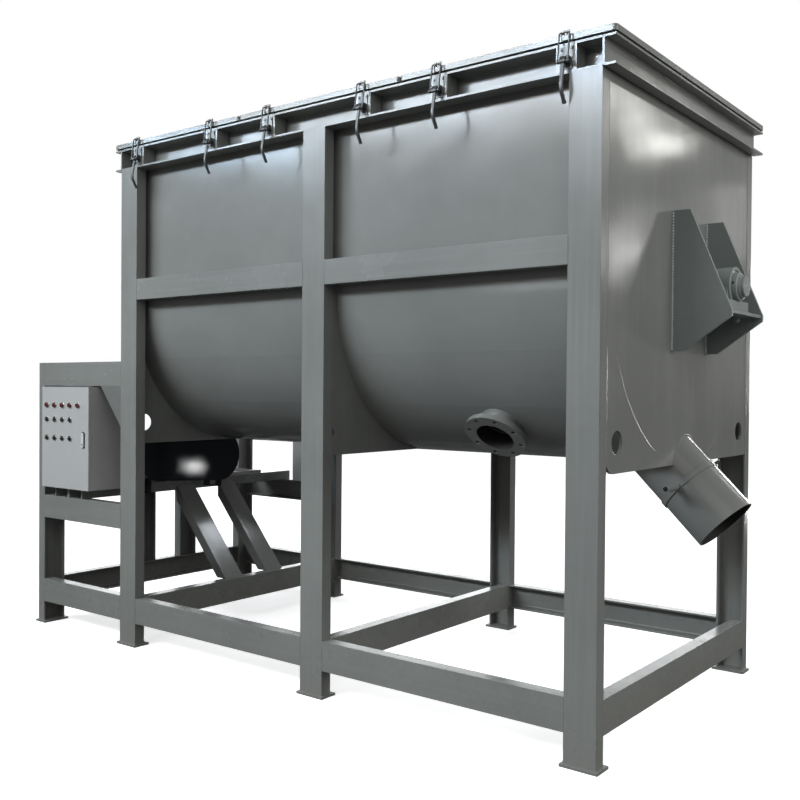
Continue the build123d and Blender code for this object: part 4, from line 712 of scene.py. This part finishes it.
def plate_weld(beads):
    """Upright beads where the end plates meet the legs, and the trough's round on the free end's plate."""
    upright_bead, round_bead, round_step = 2.6, 1.5, 2.4
    for y in (flange + 1.0, frame_depth - flange - 1.0):
        line = [(plate_outer, y, z) for z in plate_weld_z]
        beads.bead(line, upright_bead)
        beads.bead([far_side(v) for v in line], upright_bead)
    round_radius, round_angle = 675.0, 66.0
    arc = circle_points((plate_outer - 0.9, mid_y, axis_z), (0, 0, -1), (0, 1, 0), round_radius,
                        -round_angle, round_angle, 150)
    beads.bead(arc, round_bead, round_step)


def pipe_weld(beads):
    """The upper arc of the oval where the discharge pipe leaves the end plate."""
    radius, first, last, steps = 3.2, 21.5, 158.5, 60
    half_width, half_height, centre_z = 123.5, 174.0, 912.0
    points = []
    for k in range(steps + 1):
        a = math.radians(first + (last - first) * k / steps)
        y, z = mid_y + half_width * math.cos(a), centre_z + half_height * math.sin(a)
        points.append((plate_outer + 1.0, y, z))
    beads.bead(points, radius)


def outlet_weld(beads):
    """The closed curve where the side outlet's neck meets the trough's round."""
    radius, steps = 3.0, 72
    points = []
    for k in range(steps):
        a = 2 * math.pi * k / steps
        side = outlet_neck_radius * math.sin(a)
        out = math.sqrt(trough_radius ** 2 - side ** 2) + 1.0
        points.append((outlet_x + outlet_neck_radius * math.cos(a),
                       mid_y - out * math.sin(outlet_tilt) + side * math.cos(outlet_tilt),
                       axis_z - out * math.cos(outlet_tilt) - side * math.sin(outlet_tilt)))
    beads.bead(points, radius, closed=True)


def weld_beads(material):
    """The beads that show where plates and pipes are welded on."""
    beads = Piece()
    plate_weld(beads)
    pipe_weld(beads)
    outlet_weld(beads)
    beads.done("weld_beads", material, "frame")


def seam_beads(material):
    """Low ground-down seams where the rails meet the legs, front and back."""
    radius, step, inset = 1.5, 3.0, 2
    seams = Piece()
    for face_y in (0.0, frame_depth):
        ends = [(x, rail_z) for rail_z in (low_rail_z, side_rail_z) for x in leg_edges_x]
        ends += [(drive_end_x, rail_z) for rail_z in (low_rail_z, *platform_rails_z)]
        for x, (low, high) in ends:
            seams.bead([(x, face_y, low + inset), (x, face_y, high - inset)], radius, step)
    seams.done("seam_beads", material, "frame")


def switch_spots():
    """Places of the lamps and the buttons on the cabinet door, as x and z."""
    lamps = [(switch_start_x + switch_pitch * k, lamp_row_z) for k in range(5)]
    buttons = [(switch_start_x + switch_pitch * k, z) for z in button_rows_z for k in range(4)]
    return lamps, buttons


def switch_trim(materials):
    """Chrome rings round the lamps and buttons, and the buttons' faces with a white dot."""
    forward = (0, -1, 0)
    ring_profile = [(11.6, 0.0), (15.9, 0.0), (15.9, 2.6), (14.6, 4.6), (12.2, 5.2), (11.4, 4.2), (11.4, 0.0)]
    face_profile = [(9.0, 0.0), (9.6, 0.8), (8.6, 1.6), (7.6, 1.1), (0.0, 0.9)]
    dot_profile = [(1.9, 0.0), (1.9, 1.9), (1.3, 2.3), (0.0, 2.3)]
    dot_offset = 3.4
    lamps, buttons = switch_spots()
    rings = Piece()
    for x, z in lamps + buttons:
        rings.turned(ring_profile, (x, door_face_y + 0.2, z), forward, 40)
    rings.done("switch_rings", materials["chrome"], "door")
    for number, (x, z) in enumerate(buttons, 1):
        front = button_front(number)
        face = Piece()
        face.turned(face_profile, (x, front, z), forward, 32)
        face.done(f"button_face_{number}", materials["switch_black"], f"button_{number}")
        dot = Piece()
        dot.turned(dot_profile, (x - dot_offset, front, z + dot_offset), forward, 16)
        dot.done(f"button_dot_{number}", materials["white_mark"], f"button_{number}")


def button_front(number):
    """The front of a push button, in the source's mm."""
    low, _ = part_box(f"push_button_{number}")
    return (low.y - shift_y) * 1000.0


def lock_trim(materials):
    """The dark frame round the door's lock, and its keyhole."""
    outlines = ((10.5, 40.0, 0.3), (13.5, 43.0, 0.3), (12.3, 41.8, -3.2), (10.8, 40.3, -3.2))
    border = Piece()
    border.rings([stadium(lock_x, door_face_y + reach, lock_z, half_width, half_height)
                  for half_width, half_height, reach in outlines], closed=True)
    border.done("lock_frame", materials["switch_black"], "lock")
    keyhole_profile = [(4.6, 0.0), (4.6, 1.3), (3.6, 1.6), (1.2, 0.9), (0.0, 0.7)]
    keyhole_drop = 22.0
    hole = Piece()
    hole.turned(keyhole_profile, (lock_x, lock_face_y, lock_z - keyhole_drop), (0, -1, 0), 24)
    hole.done("lock_keyhole", materials["chain_steel"], "lock")


def stadium(x, y, z, half_width, half_height):
    """A tall rounded outline in the door's plane."""
    points_per_end, step = 13, 15.0
    points = []
    for side, start in ((1, 0.0), (-1, 180.0)):
        for k in range(points_per_end):
            a = math.radians(start + step * k)
            points.append((x + half_width * math.cos(a), y, z + side * (half_height - half_width)
                           + half_width * math.sin(a)))
    return points


def shaft_cap(materials):
    """The painted free end of the shaft, with its centre hole."""
    profile = [(38.1, 0.0), (38.1, 33.0), (36.6, 34.6), (5.0, 34.6), (2.6, 32.8), (0.0, 32.6)]
    cap = Piece()
    cap.turned(profile, (shaft_face_x, mid_y, axis_z), (1, 0, 0), 64)
    cap.done("shaft_end", materials["bracket_paint"], "rotor")


def bearing_trim(materials):
    """The lip, stepped cover and collar on the outer face of the free end's bearing, and its grease hole."""
    lip = [(39.2, 0.0), (75.0, 0.0), (75.6, 1.0), (75.6, 5.0), (73.5, 7.0), (64.5, 7.0), (62.0, 5.0)]
    step = [(60.0, 2.2), (54.0, 2.2), (53.0, 3.4), (53.0, 21.0), (50.5, 23.5), (45.5, 23.5)]
    collar = [(44.0, 24.5), (44.0, 31.5), (42.5, 33.0), (39.2, 33.0)]
    cover = Piece()
    cover.turned(lip + step + collar, (bearing_face_x, mid_y, axis_z), (1, 0, 0), 72, closed=True)
    cover.done("bearing_cover", materials["bracket_paint"], "frame")
    nipple_profile = [(4.4, 0.0), (4.4, 2.4), (3.6, 3.0), (1.2, 2.6), (0.0, 2.4)]
    nipple = Piece()
    nipple.turned(nipple_profile, (bearing_face_x + 11.0, mid_y - 51.0, axis_z + 12.0), (0, -1, 0), 20)
    nipple.done("grease_nipple", materials["switch_black"], "frame")


def valve_band(centre, along, up, back):
    """The band round the back of the pipe at the valve's spindle, painted dark as the shadow line there."""
    inner, outer, half_width = 122.3, 125.6, 3.0
    section = ((inner, -half_width), (outer, -half_width), (outer, half_width), (inner, half_width))
    first, sweep, steps = -82.0, 118.0, 72
    rings = []
    for k in range(steps + 1):
        a = math.radians(first + sweep * k / steps)
        outward = up * math.cos(a) + back * math.sin(a)
        rings.append([centre + outward * radius + along * reach for radius, reach in section])
    band = Piece()
    band.rings(rings)
    return band


def valve_ear(centre, along, up, back):
    """The rounded ear that stands on the band."""
    half_thickness, bevel, middle = 3.5, 0.8, math.radians(26.0)
    root_reach, root_half_width, arc_reach, arc_height, arc_half_width = 121.0, 21.0, 131.0, 15.0, 17.0
    outward = up * math.cos(middle) + back * math.sin(middle)
    sideways = back * math.cos(middle) - up * math.sin(middle)
    foot = centre - along * half_thickness
    steps = 12
    outline = []
    for k in range(steps + 1):
        a = math.radians(180.0 * k / steps)
        outline.append(foot + outward * (arc_reach + arc_height * math.sin(a))
                       + sideways * arc_half_width * math.cos(a))
    outline += [foot + outward * root_reach - sideways * root_half_width,
                foot + outward * root_reach + sideways * root_half_width]
    ear = Piece()
    ear.prism(outline, along * (2 * half_thickness), bevel)
    return ear


def valve_trim(materials):
    """The band and ear at the valve's spindle in a dark paint that is a painted shadow line, and the sleeve,
    bore and weld of the lever's tube, the bore a black disc of painted shade.
    """
    centre = Vector((spindle_x, mid_y, spindle_z))
    axes = (Vector((root_half, 0, -root_half)), Vector((root_half, 0, root_half)), Vector((0, 1, 0)))
    valve_band(centre, *axes).done("valve_band", materials["pipe_dark"], "frame")
    valve_ear(centre, *axes).done("valve_ear", materials["pipe_dark"], "frame")

    sleeve_y = 516.4
    sleeve_profile = [(11.2, 0.0), (13.4, 0.0), (14.0, 0.8), (14.0, 98.0), (13.2, 99.0), (11.2, 99.0)]
    sleeve = Piece()
    sleeve.turned(sleeve_profile, (centre.x, sleeve_y, centre.z), (0, 1, 0), 40, closed=True)
    sleeve.done("valve_sleeve", materials["pipe_paint"], "valve")

    # Painted shade: a black disc in the open end of the lever's tube, where its hollow is in shade
    bore_profile = [(9.4, 0.0), (9.4, 0.5), (9.0, 0.6), (0.0, 0.6)]
    bore = Piece()
    bore.turned(bore_profile, (centre.x, sleeve_y - 0.1, centre.z), (0, -1, 0), 28)
    bore.done("valve_tube_painted_shade", materials["switch_black"], "valve")

    weld_y, weld_circle, weld_radius = 628.0, 15.0, 2.4
    circle = circle_points((centre.x, weld_y, centre.z), (1, 0, 0), (0, 0, 1), weld_circle, 0.0, 360.0, 40)
    weld = Piece()
    weld.bead(circle[:-1], weld_radius, closed=True)
    weld.done("valve_weld", materials["weld_paint"], "frame")


def cabinet_top_shadow(materials):
    """A dark strip between the cabinet's top and the rail above it, as a painted shadow in the gap."""
    left, right, front, back, bottom = -3146.0, -2740.0, -28.0, 40.0, 1251.0
    height, bevel = 6.6, 0.6
    corners = [(left, front, bottom), (right, front, bottom), (right, back, bottom), (left, back, bottom)]
    strip = Piece()
    strip.prism(corners, (0, 0, height), bevel)
    strip.done("cabinet_shadow_strip", materials["gasket_rubber"], "frame")


bpy.context.scene.view_settings.view_transform = "Standard"
make_camera()
make_world()
make_lights()
make_floor()
materials = make_materials()
dress(materials)
# The beads' paints are lightened as painted highlights
bracket_beads(materials["weld_bright"])
weld_beads(materials["weld_paint"])
seam_beads(materials["weld_paint"])
switch_trim(materials)
lock_trim(materials)
shaft_cap(materials)
bearing_trim(materials)
valve_trim(materials)
cabinet_top_shadow(materials)
